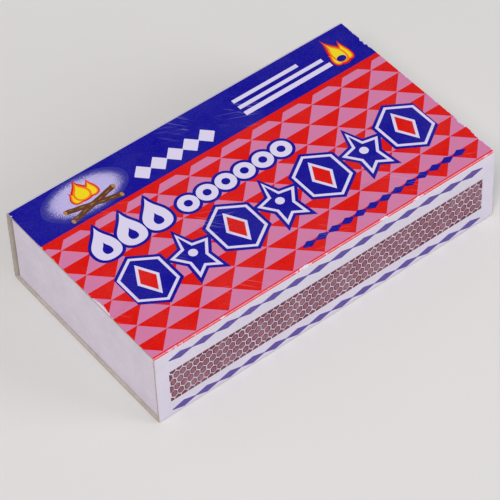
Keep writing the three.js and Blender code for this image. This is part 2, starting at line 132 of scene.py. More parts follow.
class PrintSettings(bpy.types.PropertyGroup):
    ink: length("Ink", "Thickness of one layer of ink", 0.016)
    over_fold: length("Over the fold", "How far the red field goes on down the front fold", 0.9)
    triangle_width: length("Triangle width", "Width of a pink triangle", 10.38)
    triangle_height: length("Triangle height", "Depth of a row of pink triangles", 5.4)
    neck: length("Neck", "Thickness of the ink that joins two pink triangles", 0.16)
    outline: length("Outline", "Width of the blue line round a tile or a white motif", 0.9)
    tile_overlap: length("Tile overlap", "How far a tile reaches past its share of the row", 0.5)
    tile_line: length("Tile line", "Width of the white line in a tile", 0.8)
    tile_eye_width: length("Eye width", "Width of the lozenge cut out of a hexagon", 5)
    tile_eye_height: length("Eye height", "Height of the lozenge cut out of a hexagon", 9)
    string_link: length("Link", "Width at which two lozenges of a string join", 0.3)
    first_row: length("First row", "Depth of the cut row of triangles at the back of the field", 2.7)
    row_count: whole_number("Rows", "Whole rows of pink triangles", 8)
    triangle_start: length("Start", "From the field's left end back to the start of a triangle", 6.88)
    white_lozenges: whole_number("White lozenges", "Lozenges in the string on the blue band", 5)
    bead_count: whole_number("Beads", "Ovals in the white string", 6)
    edge_lozenges: whole_number("Edge lozenges", "Small lozenges near the front edge", 13)
    side_lozenges: whole_number("Side lozenges", "Lozenges in a border of a side", 14)
    log_length: length("Log length", "Length of a log of the camp fire", 16)
    log_width: length("Log width", "Thickness of a log of the camp fire", 1.9)
    log_turn: turning("Log turn", "How far the crossed logs are turned", 14)
    printed_head: length("Printed head", "Half the height of the printed match's head", 1.15)
    seed: whole_number("Seed", "Chooses the bark's lines", 3, least=0)
    wear: share("Wear", "How much ink is worn off along the folds and ends", 0.43)
    glow: colour("Glow", "Pale glow round the camp fire", (198, 188, 238))
    straw: colour("Straw", "Pale ink of the logs' ends and bark lines", (176, 128, 74))
    blue: colour("Blue", "Blue ink", (9, 2, 148))
    red: colour("Red", "Red ink", (217, 10, 0))
    pink: colour("Pink", "Pink ink", (207, 122, 165))
    white: colour("White", "White parts of the print", (219, 211, 238))
    violet: colour("Violet", "Violet ink of the side borders", (92, 74, 152))
    yellow: colour("Yellow", "Yellow ink", (240, 214, 24))
    orange: colour("Orange", "Orange ink", (240, 128, 20))
    brown: colour("Brown", "Brown ink of the logs", (98, 56, 28))


class StrikerSettings(bpy.types.PropertyGroup):
    dot_pitch: length("Dot pitch", "Distance from one dot to the next along a row", 2.09)
    row_pitch: length("Row pitch", "Distance from one row of dots to the next", 2.3)
    dot_width: length("Dot width", "Width of a dot across its flat sides", 1.85)
    dot_height: length("Dot height", "Height of a dot from point to point", 2.62)
    rim: length("Rim", "Width of a dot's raised rim", 0.3)
    coat: length("Coat", "Thickness of the striking coat", 0.06)
    seed: whole_number("Seed", "Chooses how the dots differ from each other", 5, least=0)
    rim_colour: colour("Rim colour", "Dense coat on a dot's rim", (126, 50, 72))
    middle_colour: colour("Middle colour", "Thin coat in a dot's middle", (166, 104, 124))


class TraySettings(bpy.types.PropertyGroup):
    board: length("Board", "Thickness of the tray's board", 0.5)
    fold: length("Fold", "Radius of a fold's outer side", 0.8)
    gap: length("Gap", "Room between two pieces of board that meet", 0.04)
    tab_length: length("Tab length", "Length of a glued corner tab", 15)
    tab_slope: length("Tab slope", "How far a tab's top edge drops towards its end", 3)
    face_colour: colour("Outside", "Outer face of the tray's board", (228, 219, 234))
    inside_colour: colour("Inside", "Inner face of the tray's board", (201, 190, 176))
    wall_bow: length("Wall bow", "How far a long wall leans in at its top", 0.15)
    end_lean: length("End lean", "How far an end wall leans in at its top", 0.1)
    tab_drop: length("Tab drop", "How far a tab's top edge is under the wall's", 0.4)
    edge_colour: colour("Edge", "Cut edge of the tray's board", (178, 162, 144))


class MatchSettings(bpy.types.PropertyGroup):
    splint: length("Splint", "Thickness of a square splint", 2.1)
    splint_edge: length("Splint edge", "Width of the worn corner of a splint", 0.14)
    head: length("Head", "Width of a loose match's head", 2.95)
    row_head: length("Row head", "Width of a head in a full row, where the heads touch", 2.72)
    head_rise: length("Head rise", "Half the height of a head", 1.4)
    head_length: length("Head length", "Length of a head along the splint", 5.3)
    row_pitch: length("Row pitch", "Distance from one match to the next in a row", 2.75)
    loose_turn: turning("Loose turn", "Most that a loose match is turned", 2.4)
    seed: whole_number("Seed", "Chooses how the matches differ from each other", 11, least=0)
    wood_light: colour("Light wood", "Paler grain of the splints", (239, 219, 180))
    wood_dark: colour("Dark wood", "Darker grain of the splints", (216, 184, 136))
    end_light: colour("Light end", "Paler grain of a splint's cut end", (216, 188, 142))
    end_dark: colour("Dark end", "Darker grain of a splint's cut end", (170, 134, 92))
    head_colour: colour("Heads", "Striking paste of the heads", (158, 30, 24))
    head_dark: colour("Dark paste", "Darker spots of the heads", (96, 16, 14))


class StageSettings(bpy.types.PropertyGroup):
    floor_colour: colour("Floor", "Pale floor under the box", (224, 222, 221))
    key_power: power("Key lamp", "Power of the large soft lamp", 28)
    fill_power: power("Fill lamp", "Power of the low side lamp", 18)
    world: FloatProperty(
        name="World", description="Strength of the plain surroundings", default=0.43, min=0
    )
    lens: FloatProperty(
        name="Lens", description="Focal length in millimetres", default=187.3, unit="CAMERA"
    )
    azimuth: turning("Azimuth", "How far the view is turned about the box", -36.19)
    elevation: turning("Elevation", "How far the view looks down", 48.04)
    roll: turning("Roll", "How far the view is turned about its own line", -2.58)
    distance: length("Distance", "From the camera to the point that it looks at", 686.8)
    aim: FloatVectorProperty(
        name="Aim",
        description="Point that the camera looks at",
        default=(-8.3 * MM, -9 * MM, 12 * MM),
        unit="LENGTH",
    )
    floor_size: length("Floor size", "Half the floor's width", 14000)


SETTINGS = {
    "matchbox_sleeve": SleeveSettings,
    "matchbox_print": PrintSettings,
    "matchbox_striker": StrikerSettings,
    "matchbox_tray": TraySettings,
    "matchbox_matches": MatchSettings,
    "matchbox_stage": StageSettings,
}


# Shader building blocks

def plug(tree, node, inputs):
    """Fills a node's inputs, by name or number, each with a value or with another node's socket."""
    for key, value in inputs.items():
        if isinstance(value, bpy.types.NodeSocket):
            tree.links.new(value, node.inputs[key])
        else:
            node.inputs[key].default_value = value


def feed(tree, node, **inputs):
    """Fills a node's named inputs, given with a low line for each space in a name."""
    plug(tree, node, {name.replace("_", " "): value for name, value in inputs.items()})


def add_node(tree, kind, inputs=None, **settings):
    made = tree.nodes.new(kind)
    for key, value in settings.items():
        setattr(made, key, value)
    plug(tree, made, inputs or {})
    return made


def maths(tree, operation, first, second=0.0, clamp=False):
    terms = {0: first, 1: second}
    return add_node(tree, "ShaderNodeMath", terms, operation=operation, use_clamp=clamp).outputs[0]


def blend_colours(tree, factor, first, second):
    first, second = (v if isinstance(v, bpy.types.NodeSocket) else (*v[:3], 1) for v in (first, second))
    colours = {0: factor, 6: first, 7: second}
    return add_node(tree, "ShaderNodeMix", colours, data_type="RGBA").outputs[2]


def spread(tree, value, low, high, to_low=0.0, to_high=1.0):
    """Stretches the part of a value between low and high smoothly over a new range."""
    limits = {0: value, 1: low, 2: high, 3: to_low, 4: to_high}
    return add_node(tree, "ShaderNodeMapRange", limits, interpolation_type="SMOOTHSTEP").outputs[0]


def speckle(tree, place, scale, detail=2.0, roughness=0.5, stretch=(1, 1, 1), turn=0.0):
    """Noise over the object's own places, with scale in features a metre, turned before it is stretched."""
    if turn:
        turned = {"Vector": place, "Angle": turn}
        place = add_node(tree, "ShaderNodeVectorRotate", turned, rotation_type="Z_AXIS").outputs[0]
    mapped = add_node(tree, "ShaderNodeMapping", {"Vector": place, "Scale": stretch}).outputs[0]
    look = {"Vector": mapped, "Scale": scale, "Detail": detail, "Roughness": roughness}
    return add_node(tree, "ShaderNodeTexNoise", look).outputs[0]


def new_group(name, inputs, outputs):
    """Makes an empty node group with its sockets, and returns it with its input and output nodes."""
    group = bpy.data.node_groups.new(name, "ShaderNodeTree")
    for socket, (kind, default) in inputs.items():
        made = group.interface.new_socket(socket, in_out="INPUT", socket_type=kind)
        made.default_value = default
    for socket, kind in outputs.items():
        group.interface.new_socket(socket, in_out="OUTPUT", socket_type=kind)
    return group, group.nodes.new("NodeGroupInput"), group.nodes.new("NodeGroupOutput")


def object_place(tree):
    return add_node(tree, "ShaderNodeTexCoord").outputs["Object"]


def board_fibre_group():
    """Fibres and clouds of paper board: how dark each place is, and how high."""
    group, given, put = new_group(
        "Board Fibre",
        {"Fibre Scale": ("NodeSocketFloat", 1400.0), "Cloud Scale": ("NodeSocketFloat", 90.0)},
        {"Shade": "NodeSocketFloat", "Height": "NodeSocketFloat"},
    )
    place = object_place(group)
    long_fibre = speckle(group, place, given.outputs["Fibre Scale"], 3, 0.6, (0.35, 1, 1))
    cross_fibre = speckle(group, place, given.outputs["Fibre Scale"], 3, 0.6, (1, 0.4, 0.6))
    cloud = speckle(group, place, given.outputs["Cloud Scale"], 4, 0.6)
    fibre = maths(group, "MULTIPLY", maths(group, "ADD", long_fibre, cross_fibre), 0.5)
    shade = maths(group, "ADD", maths(group, "MULTIPLY", fibre, 0.5), maths(group, "MULTIPLY", cloud, 0.5))
    feed(group, put, Shade=spread(group, shade, 0.3, 0.7), Height=fibre)
    return group


def rub_and_highlight_group():
    """Where a box has been handled: bare spots at the edges and fine scratches. Also a painted highlight: a
    lighter line along the upper part of a fold.
    """
    group, given, put = new_group(
        "Handling Rub",
        {
            "Half Length": ("NodeSocketFloat", HALF_LENGTH),
            "Half Width": ("NodeSocketFloat", HALF_WIDTH),
            "Height": ("NodeSocketFloat", HEIGHT),
            "Reach": ("NodeSocketFloat", 1.8 * MM),
            # Place and width of the painted highlight line, measured from the side of the box
            "Crack": ("NodeSocketFloat", 0.34 * MM),
            "Crack Width": ("NodeSocketFloat", 0.2 * MM),
            "Amount": ("NodeSocketFloat", 0.5),
        },
        {"Bare": "NodeSocketFloat", "Scratch": "NodeSocketFloat", "Crack": "NodeSocketFloat"},
    )
    place = object_place(group)
    split = add_node(group, "ShaderNodeSeparateXYZ", {0: place})
    along, across = (maths(group, "ABSOLUTE", split.outputs[i]) for i in (0, 1))
    from_end = maths(group, "SUBTRACT", given.outputs["Half Length"], along)
    from_side = maths(group, "SUBTRACT", given.outputs["Half Width"], across)
    from_top = maths(group, "SUBTRACT", given.outputs["Height"], split.outputs[2])
    from_flat = maths(group, "MINIMUM", from_top, split.outputs[2])
    from_fold = maths(group, "MAXIMUM", from_side, from_flat)
    nearest = maths(group, "MINIMUM", from_end, from_fold)
    share_of_reach = maths(group, "DIVIDE", nearest, given.outputs["Reach"])
    closeness = maths(group, "SUBTRACT", 1.0, share_of_reach, clamp=True)

    # Ink goes where it is weak and an edge is close
    chips = speckle(group, place, 1100, 5, 0.65)
    patches = speckle(group, place, 130, 2, 0.5)
    patchy = maths(group, "MULTIPLY", patches, 2.8)
    broken = maths(group, "ADD", maths(group, "MULTIPLY", chips, 1.5), patchy)
    worn = maths(group, "MULTIPLY", maths(group, "SUBTRACT", broken, 1.35), closeness)
    level = maths(group, "SUBTRACT", 1.12, maths(group, "MULTIPLY", given.outputs["Amount"], 0.62))
    bare = maths(group, "MULTIPLY", maths(group, "SUBTRACT", worn, level), 14.0, clamp=True)

    # Scratches run two ways and lie in loose clusters
    streaks = speckle(group, place, 75, 1, 0.5, (1, 34, 34), math.radians(24))
    streaks = spread(group, streaks, 0.65, 0.69)
    cross = speckle(group, place, 60, 1, 0.5, (42, 1, 42), math.radians(-38))
    cross = spread(group, cross, 0.66, 0.7)
    where = spread(group, speckle(group, place, 55, 2), 0.53, 0.68)
    scratch = maths(group, "MULTIPLY", maths(group, "ADD", streaks, cross, clamp=True), where)

    # The painted highlight, a lighter line broken by the chips, runs along the upper part of a long fold
    off_highlight_line = maths(group, "ABSOLUTE", maths(group, "SUBTRACT", from_side, given.outputs["Crack"]))
    off_highlight_line = maths(group, "DIVIDE", off_highlight_line, given.outputs["Crack Width"])
    fold_highlight = maths(group, "MULTIPLY", maths(group, "SUBTRACT", 1.0, off_highlight_line, clamp=True), chips)
    on_top = spread(group, from_top, 0.3 * MM, 0.6 * MM, 1.0, 0.0)
    feed(group, put, Bare=bare, Scratch=scratch, Crack=maths(group, "MULTIPLY", fold_highlight, on_top))
    return group


def ink_mottle_group():
    """Uneven ink: a colour that is a little denser or thinner from place to place."""
    group, given, put = new_group(
        "Ink Mottle",
        {"Ink": ("NodeSocketColor", (0.5, 0.5, 0.5, 1)), "Depth": ("NodeSocketFloat", 0.12)},
        {"Color": "NodeSocketColor", "Grain": "NodeSocketFloat"},
    )
    place = object_place(group)
    grain = speckle(group, place, 2600, 2, 0.6)
    cloud = speckle(group, place, 70, 4, 0.62)
    cloudy = maths(group, "MULTIPLY", cloud, 0.45)
    thin = maths(group, "ADD", maths(group, "MULTIPLY", grain, 0.55), cloudy)
    thin = maths(group, "MULTIPLY", spread(group, thin, 0.35, 0.68), given.outputs["Depth"])
    lighter = blend_colours(group, 0.16, given.outputs["Ink"], (1, 1, 1))
    mottled = blend_colours(group, thin, given.outputs["Ink"], lighter)
    smudge = spread(group, speckle(group, place, 75, 5, 0.7, (0.5, 1.6, 1)), 0.56, 0.78)
    grubby = blend_colours(group, maths(group, "MULTIPLY", smudge, 0.22), mottled, tint(70, 50, 70))
    feed(group, put, Color=grubby, Grain=grain)
    return group


def grit_group():
    """Coarse grains of ground glass or phosphorus in a striking coat or a match head."""
    group, given, put = new_group(
        "Grit",
        {"Grain Scale": ("NodeSocketFloat", 3200.0)},
        {"Dark": "NodeSocketFloat", "Height": "NodeSocketFloat"},
    )
    place = object_place(group)
    cells = {"Vector": place, "Scale": given.outputs["Grain Scale"]}
    hollow = add_node(group, "ShaderNodeTexVoronoi", cells).outputs["Distance"]
    lumps = speckle(group, place, 900, 4, 0.7)
    height = maths(group, "SUBTRACT", maths(group, "MULTIPLY", lumps, 1.4), hollow)
    dark = spread(group, maths(group, "ADD", hollow, lumps), 0.5, 1.1)
    feed(group, put, Dark=dark, Height=height)
    return group


GROUP_MAKERS = {
    "Board Fibre": board_fibre_group,
    "Handling Rub": rub_and_highlight_group,
    "Ink Mottle": ink_mottle_group,
    "Grit": grit_group,
}


def use_group(tree, name, inputs=None):
    """Places a shared node group in a material, building it the first time, and returns its outputs."""
    group = bpy.data.node_groups.get(name) or GROUP_MAKERS[name]()
    return add_node(tree, "ShaderNodeGroup", inputs, node_tree=group).outputs


def new_material(name):
    """A new material, with its node tree and its Principled shader."""
    material = bpy.data.materials.new(name)
    material.use_nodes = True
    return material, material.node_tree, material.node_tree.nodes["Principled BSDF"]


def bump(tree, height, distance):
    return add_node(tree, "ShaderNodeBump", {"Height": height, "Distance": distance}).outputs[0]


# Materials

def board_material(name, face, roughness, shade_depth=0.2, fibre_height=0.012, rubbed=0.0):
    """Folding board, with its fibres, its clouds and a little grey where hands have rubbed its edges."""
    material, tree, shader = new_material(name)
    fibre = use_group(tree, "Board Fibre")
    darker = tuple(v * (1 - shade_depth) for v in face)
    base = blend_colours(tree, fibre["Shade"], darker, face)
    rub_and_highlight = use_group(tree, "Handling Rub", {"Reach": 1.1 * MM, "Amount": rubbed})
    marked = maths(tree, "ADD", rub_and_highlight["Bare"], maths(tree, "MULTIPLY", rub_and_highlight["Scratch"], 0.35), clamp=True)
    grey = tuple(v * 0.62 for v in face)
    base = blend_colours(tree, maths(tree, "MULTIPLY", marked, rubbed), base, grey)
    uneven = spread(tree, fibre["Height"], 0.3, 0.7, roughness - 0.06, roughness + 0.06)
    relief = bump(tree, fibre["Height"], fibre_height * MM)
    feed(tree, shader, Base_Color=base, Roughness=uneven, Normal=relief)
    return material


def cut_edge_material(name, edge):
    """The cut edge of board: thin plies one on another, furred by the knife."""
    material, tree, shader = new_material(name)
    place = object_place(tree)
    fur = speckle(tree, place, 3800, 4, 0.7)
    plies = speckle(tree, place, 1500, 2, 0.5)
    mixed = spread(tree, maths(tree, "ADD", fur, plies), 0.75, 1.3)
    base = blend_colours(tree, mixed, tuple(v * 0.7 for v in edge), edge)
    feed(tree, shader, Base_Color=base, Roughness=0.9, Normal=bump(tree, fur, 0.05 * MM))
    return material


def ink_material(name, ink, wear):
    """Ink on coated board: mottled, finely scratched and worn off at the edges, with a painted highlight
    along a fold.
    """
    settings = bpy.context.scene.matchbox_sleeve
    material, tree, shader = new_material(name)
    mottle = use_group(tree, "Ink Mottle", {"Ink": (*ink, 1), "Depth": 0.12})
    fibre = use_group(tree, "Board Fibre")
    rub_and_highlight = use_group(tree, "Handling Rub", {"Amount": wear})
    scratched = maths(tree, "MULTIPLY", rub_and_highlight["Scratch"], 0.15)
    faint = blend_colours(tree, scratched, mottle["Color"], settings.face_colour)
    # Painted highlight: along the upper part of a fold the ink is lightened to the board's face colour
    highlighted = blend_colours(tree, rub_and_highlight["Crack"], faint, settings.face_colour)
    base = blend_colours(tree, rub_and_highlight["Bare"], highlighted, settings.face_colour)
    uneven = spread(tree, mottle["Grain"], 0.3, 0.7, 0.29, 0.41)
    duller = maths(tree, "ADD", uneven, maths(tree, "MULTIPLY", rub_and_highlight["Bare"], 0.3))
    duller = maths(tree, "ADD", duller, maths(tree, "MULTIPLY", rub_and_highlight["Scratch"], 0.12))
    heights = maths(tree, "ADD", fibre["Height"], maths(tree, "MULTIPLY", rub_and_highlight["Scratch"], -0.5))
    relief = bump(tree, heights, 0.008 * MM)
    feed(tree, shader, Base_Color=base, Roughness=duller, Specular_IOR_Level=0.07, Normal=relief)
    return material


def glow_material(name, centre, half_width, half_height, inside, outside, wear):
    """Pale glow round the camp fire, which fades outwards into the blue band."""
    material, tree, shader = new_material(name)
    place = object_place(tree)
    split = add_node(tree, "ShaderNodeSeparateXYZ", {0: place})
    across = maths(tree, "DIVIDE", maths(tree, "SUBTRACT", split.outputs[0], centre[0]), half_width)
    up = maths(tree, "DIVIDE", maths(tree, "SUBTRACT", split.outputs[1], centre[1]), half_height)
    squares = maths(tree, "ADD", maths(tree, "MULTIPLY", across, across), maths(tree, "MULTIPLY", up, up))
    ragged = maths(tree, "MULTIPLY", maths(tree, "SUBTRACT", speckle(tree, place, 300, 2), 0.5), 0.16)
    fade = spread(tree, maths(tree, "ADD", squares, ragged), 0.3, 0.96)
    dots = spread(tree, speckle(tree, place, 4200, 1), 0.35, 0.65)
    dotted = maths(tree, "SUBTRACT", maths(tree, "MULTIPLY", fade, 1.4), dots)
    mixed = blend_colours(tree, spread(tree, dotted, -0.5, 0.6), inside, outside)
    mottle = use_group(tree, "Ink Mottle", {"Ink": mixed, "Depth": 0.06})
    fibre = use_group(tree, "Board Fibre")
    rub_and_highlight = use_group(tree, "Handling Rub", {"Amount": wear})
    base = blend_colours(tree, rub_and_highlight["Bare"], mottle["Color"], bpy.context.scene.matchbox_sleeve.face_colour)
    feed(tree, shader, Base_Color=base, Roughness=0.36, Normal=bump(tree, fibre["Height"], 0.008 * MM))
    return material


def coat_material(name, coat):
    """Rough striking coat, with dark grit in it and thin places."""
    material, tree, shader = new_material(name)
    grit = use_group(tree, "Grit")
    place = object_place(tree)
    thin = spread(tree, speckle(tree, place, 230, 4, 0.65), 0.42, 0.66)
    pale = blend_colours(tree, maths(tree, "MULTIPLY", thin, 0.4), coat, tint(196, 158, 170))
    gritty = maths(tree, "MULTIPLY", grit["Dark"], 0.55)
    base = blend_colours(tree, gritty, pale, tuple(v * 0.3 for v in coat))
    feed(tree, shader, Base_Color=base, Roughness=0.93, Normal=bump(tree, grit["Height"], 0.07 * MM))
    return material


def wood_material(name, light, dark, end_grain=False):
    """Plain aspen: long pores along the splint, a tint for each match, and an end cut across the grain."""
    material, tree, shader = new_material(name)
    place = object_place(tree)
    stretch = (1, 1, 1) if end_grain else (1, 0.035, 1)
    pores = speckle(tree, place, 3400, 4, 0.65, stretch)
    bands = speckle(tree, place, 900, 3, 0.55, stretch)
    each = add_node(tree, "ShaderNodeNewGeometry").outputs["Random Per Island"]
    grain = spread(tree, maths(tree, "ADD", pores, bands), 0.78, 1.22)
    base = blend_colours(tree, grain, dark, light)
    own = blend_colours(tree, maths(tree, "MULTIPLY", each, 0.5), base, tuple(v * 0.82 for v in dark))
    feed(tree, shader, Base_Color=own, Roughness=0.72, Normal=bump(tree, pores, 0.05 * MM))
    return material


def head_material(name, paste, dark):
    """Dried striking paste: lumpy, pitted and not quite matt."""
    material, tree, shader = new_material(name)
    grit = use_group(tree, "Grit", {"Grain Scale": 2600.0})
    each = add_node(tree, "ShaderNodeNewGeometry").outputs["Random Per Island"]
    own = blend_colours(tree, maths(tree, "MULTIPLY", each, 0.45), paste, dark)
    base = blend_colours(tree, maths(tree, "MULTIPLY", grit["Dark"], 0.6), own, dark)
    feed(tree, shader, Base_Color=base, Roughness=0.62, Normal=bump(tree, grit["Height"], 0.09 * MM))
    return material


def shared_material(name, maker, *values, **options):
    return bpy.data.materials.get(name) or maker(name, *values, **options)


def sleeve_face():
    face = tuple(bpy.context.scene.matchbox_sleeve.face_colour)
    return shared_material("coated_white_board", board_material, face, 0.46, 0.1, 0.01, rubbed=0.5)


def ink(colour_name):
    settings = bpy.context.scene.matchbox_print
    shade = tuple(getattr(settings, colour_name))
    return shared_material(f"printed_{colour_name}", ink_material, shade, settings.wear)


# Mesh building blocks

def finish_piece(name, bm, materials, body, replaced, crease=BOARD_CREASE):
    """Turns a bmesh into an object that rides on a body and stands for the frame's nodes."""
    bmesh.ops.recalc_face_normals(bm, faces=bm.faces)
    mesh = bpy.data.meshes.new(name)
    bm.to_mesh(mesh)
    bm.free()
    for material in materials:
        mesh.materials.append(material)
    mesh.shade_smooth()
    mesh.set_sharp_from_angle(angle=crease)
    piece = bpy.data.objects.new(name, mesh)
    bpy.context.scene.collection.objects.link(piece)
    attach(piece, body)
    if replaced:
        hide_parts(*replaced)


def settle(point):
    """Where a point of the sleeve lies once its board has settled. Panels bow in and ripple a little."""
    settings = bpy.context.scene.matchbox_sleeve
    x = min(abs(point.x) / HALF_LENGTH, 1)
    y = max(-1, min(point.y / HALF_WIDTH, 1))
    z = max(-1, min(2 * point.z / HEIGHT - 1, 1))
    on_side = math.copysign(abs(y) ** 8, y)
    on_flat = math.copysign(abs(z) ** 8, z)
    along, across, upright = 1 - x * x, 1 - y * y, 1 - z * z
    at_end = x ** 24
    at_corner = at_end * (abs(y) * abs(z)) ** 10

    ripple = settings.ripple * (0.5 + 0.5 * noise.noise(point * 30))
    bend = settings.end_bend * (0.5 + 0.5 * noise.noise(point * 45)) * at_end
    crush = settings.corner_crush * abs(noise.noise(point * 40 + Vector((7, 3, 1)))) * at_corner
    flat_sag = settings.top_sag * (1 if z > 0 else 0.5)
    moved = point.copy()
    moved.z -= on_flat * across * (flat_sag * along + ripple + bend)
    moved.y -= on_side * upright * (settings.side_sag * along + ripple + bend)
    moved.x -= math.copysign(crush, point.x)
    moved.y -= math.copysign(0.4 * crush, point.y)
    return moved


def strip_stations(corners, radius, step):
    """Follows a folded strip's middle line: places and outward directions, with each corner rounded.

    The corners turn the same way, and outward is on the left of the way that the line goes.
    """
    stations = []
    points = [Vector(c) for c in corners]

    def straight(start, end, include_end):
        run = end - start
        count = max(1, math.ceil(run.length / step))
        outward = Vector((-run.y, run.x)).normalized()
        for i in range(count + (1 if include_end else 0)):
            stations.append((start + run * (i / count), outward))

    start = points[0]
    for before, corner, after in zip(points, points[1:], points[2:]):
        way_in = (corner - before).normalized()
        way_out = (after - corner).normalized()
        arc_start = corner - way_in * radius
        straight(start, arc_start, False)
        centre = arc_start + way_out * radius
        for i in range(FOLD_STEPS):
            turn = math.pi / 2 * i / FOLD_STEPS
            outward = -way_out * math.cos(turn) + way_in * math.sin(turn)
            stations.append((centre + outward * radius, outward))
        start = corner + way_out * radius
    straight(start, points[-1], True)
    return stations


def add_face(bm, corners, material=0):
    bm.faces.new(corners).material_index = material


def bridge(bm, first, second, material=0):
    """Joins two closed rings of vertices with a band of faces."""
    for i in range(len(first)):
        j = (i + 1) % len(first)
        add_face(bm, (first[i], first[j], second[j], second[i]), material)


def add_strip(bm, stations, spans, thickness, place):
    """Adds a strip of board, with the materials 0, 1 and 2 on its outer, inner and cut faces.

    For each station, spans gives the places across the strip, and place turns both into a point.
    """
    half = thickness / 2
    sides = []
    for reach in (half, -half):
        sides.append([
            [bm.verts.new(place(centre + outward * reach, w)) for w in spans(i)]
            for i, (centre, outward) in enumerate(stations)
        ])
    outer, inner = sides
    last, edge = len(stations) - 1, len(outer[0]) - 1
    for i in range(last):
        for j in range(edge):
            for side, material in ((outer, 0), (inner, 1)):
                corners = (side[i][j], side[i + 1][j], side[i + 1][j + 1], side[i][j + 1])
                add_face(bm, corners, material)
        for j in (0, edge):
            add_face(bm, (outer[i][j], outer[i + 1][j], inner[i + 1][j], inner[i][j]), 2)
    for i in (0, last):
        for j in range(edge):
            add_face(bm, (outer[i][j], outer[i][j + 1], inner[i][j + 1], inner[i][j]), 2)


def even_steps(low, high, step):
    count = max(1, math.ceil((high - low) / step))
    return [low + (high - low) * i / count for i in range(count + 1)]


def sleeve_steps(step):
    """Places along the sleeve, closer together near the ends, where its board is bent and crushed."""
    near = 3 * MM
    ends = even_steps(HALF_LENGTH - near, HALF_LENGTH, near / 4)
    middle = even_steps(near - HALF_LENGTH, HALF_LENGTH - near, step)
    return [-x for x in reversed(ends)] + middle[1:-1] + ends


def clipped(points, axis, limit, keep_above):
    """The part of an outline on one side of a line across the axis given."""
    kept = []
    sign = 1 if keep_above else -1
    for here, after in zip(points, points[1:] + points[:1]):
        inside_here = sign * (here[axis] - limit) >= 0
        inside_after = sign * (after[axis] - limit) >= 0
        if inside_here:
            kept.append(here)
        if inside_here != inside_after:
            part = (limit - here[axis]) / (after[axis] - here[axis])
            kept.append(tuple(a + (b - a) * part for a, b in zip(here, after)))
    return kept


def clipped_to(points, left, right, low, high):
    """The part of an outline inside a rectangle, or an empty list."""
    for axis, limit, keep_above in ((0, left, True), (0, right, False), (1, low, True), (1, high, False)):
        points = clipped(points, axis, limit, keep_above)
        if len(points) < 3:
            return []
    return points


def top_place(point, rise):
    """A point of the top panel's print. Past the panel's front edge, the print goes on down the fold."""
    fold = bpy.context.scene.matchbox_sleeve.fold
    front = fold - HALF_WIDTH
    turn = max(0, front - point.y) / fold
    down = Vector((0, -math.sin(turn), math.cos(turn)))
    centre = Vector((point.x, max(point.y, front), HEIGHT - fold))
    return settle(centre + down * fold) + down * rise


def side_place(side):
    """Makes the function that gives a point of a long side's print, where side is 1 at the back or -1."""
    def place(point, rise):
        moved = settle(Vector((point.x, side * HALF_WIDTH, point.y)))
        return moved + Vector((0, side * rise, 0))

    return place


def panel_cuts():
    """Lines that cut a panel's print where the sleeve's own faces meet, so that the ink lies on them."""
    settings = bpy.context.scene.matchbox_sleeve
    flat_half = HALF_WIDTH - settings.fold
    arc = settings.fold * math.pi / 2
    down_the_fold = [-flat_half - arc * i / FOLD_STEPS for i in range(1, FOLD_STEPS)]
    across = down_the_fold + even_steps(-flat_half, flat_half, settings.mesh_step)
    return sleeve_steps(settings.mesh_step), across


def add_ink(bm, outlines, level, place):
    """Adds thin plates of ink, each an outline with its holes, which follow the board under them.

    The level says how many layers of ink lie under a plate. Plates that cross take levels apart.
    """
    thickness = bpy.context.scene.matchbox_print.ink
    cuts_of_axes = panel_cuts()
    for loops in outlines:
        flat = bmesh.new()
        for loop in loops:
            corners = [flat.verts.new((x, y, 0)) for x, y in loop]
            for a, b in zip(corners, corners[1:] + corners[:1]):
                flat.edges.new((a, b))
        rim = flat.edges[:]
        bmesh.ops.triangle_fill(flat, use_beauty=True, use_dissolve=True, edges=rim, normal=(0, 0, 1))
        for axis, across in ((0, Vector((1, 0, 0))), (1, Vector((0, 1, 0)))):
            values = [v.co[axis] for v in flat.verts]
            for cut in cuts_of_axes[axis]:
                if min(values) < cut < max(values):
                    whole = flat.verts[:] + flat.edges[:] + flat.faces[:]
                    at = across * cut
                    bmesh.ops.bisect_plane(flat, geom=whole, plane_co=at, plane_no=across, dist=1e-7)
        made = bmesh.ops.extrude_face_region(flat, geom=flat.faces[:], use_keep_orig=True)
        raised = {v for v in made["geom"] if isinstance(v, bmesh.types.BMVert)}
        for vert in flat.verts:
            rise = (level + (1 if vert in raised else 0)) * thickness
            vert.co = place(vert.co.xy, rise)
        copies = {v: bm.verts.new(v.co) for v in flat.verts}
        for old in flat.faces:
            bm.faces.new([copies[v] for v in old.verts])
        flat.free()


def ink_piece(name, outlines, colour_name, level, nodes, place=top_place):
    bm = bmesh.new()
    add_ink(bm, outlines, level, place)
    finish_piece(name, bm, [ink(colour_name)], "sleeve", nodes)


# Outlines of the print, in the plane of the panel that carries it

def node_rectangle(node):
    low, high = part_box(node)
    return low.x, high.x, low.y, high.y


def box_outline(left, right, low, high):
    return [(left, low), (right, low), (right, high), (left, high)]


def points_round(count, radius_at, turn, half_width, half_height, centre):
    points = []
    for i in range(count):
        angle = turn + 2 * math.pi * i / count
        points.append((
            centre[0] + radius_at(i) * half_width * math.cos(angle),
            centre[1] + radius_at(i) * half_height * math.sin(angle),
        ))
    return points


def oval(half_width, half_height, centre, count=40):
    return points_round(count, lambda i: 1, 0, half_width, half_height, centre)


def lozenge(half_width, half_height, centre):
    return points_round(4, lambda i: 1, 0, half_width, half_height, centre)


def hexagon(half_width, half_height, centre):
    return points_round(
        6, lambda i: 1, math.pi / 2, half_width / math.cos(math.pi / 6), half_height, centre
    )


def star(half_width, half_height, centre):
    radius = 2 * half_height / (1 + math.cos(math.pi / 5))
    middle = (centre[0], centre[1] + half_height - radius)
    across = half_width / math.cos(math.pi / 10)
    return points_round(10, lambda i: 0.52 if i % 2 else 1, math.pi / 2, across, radius, middle)


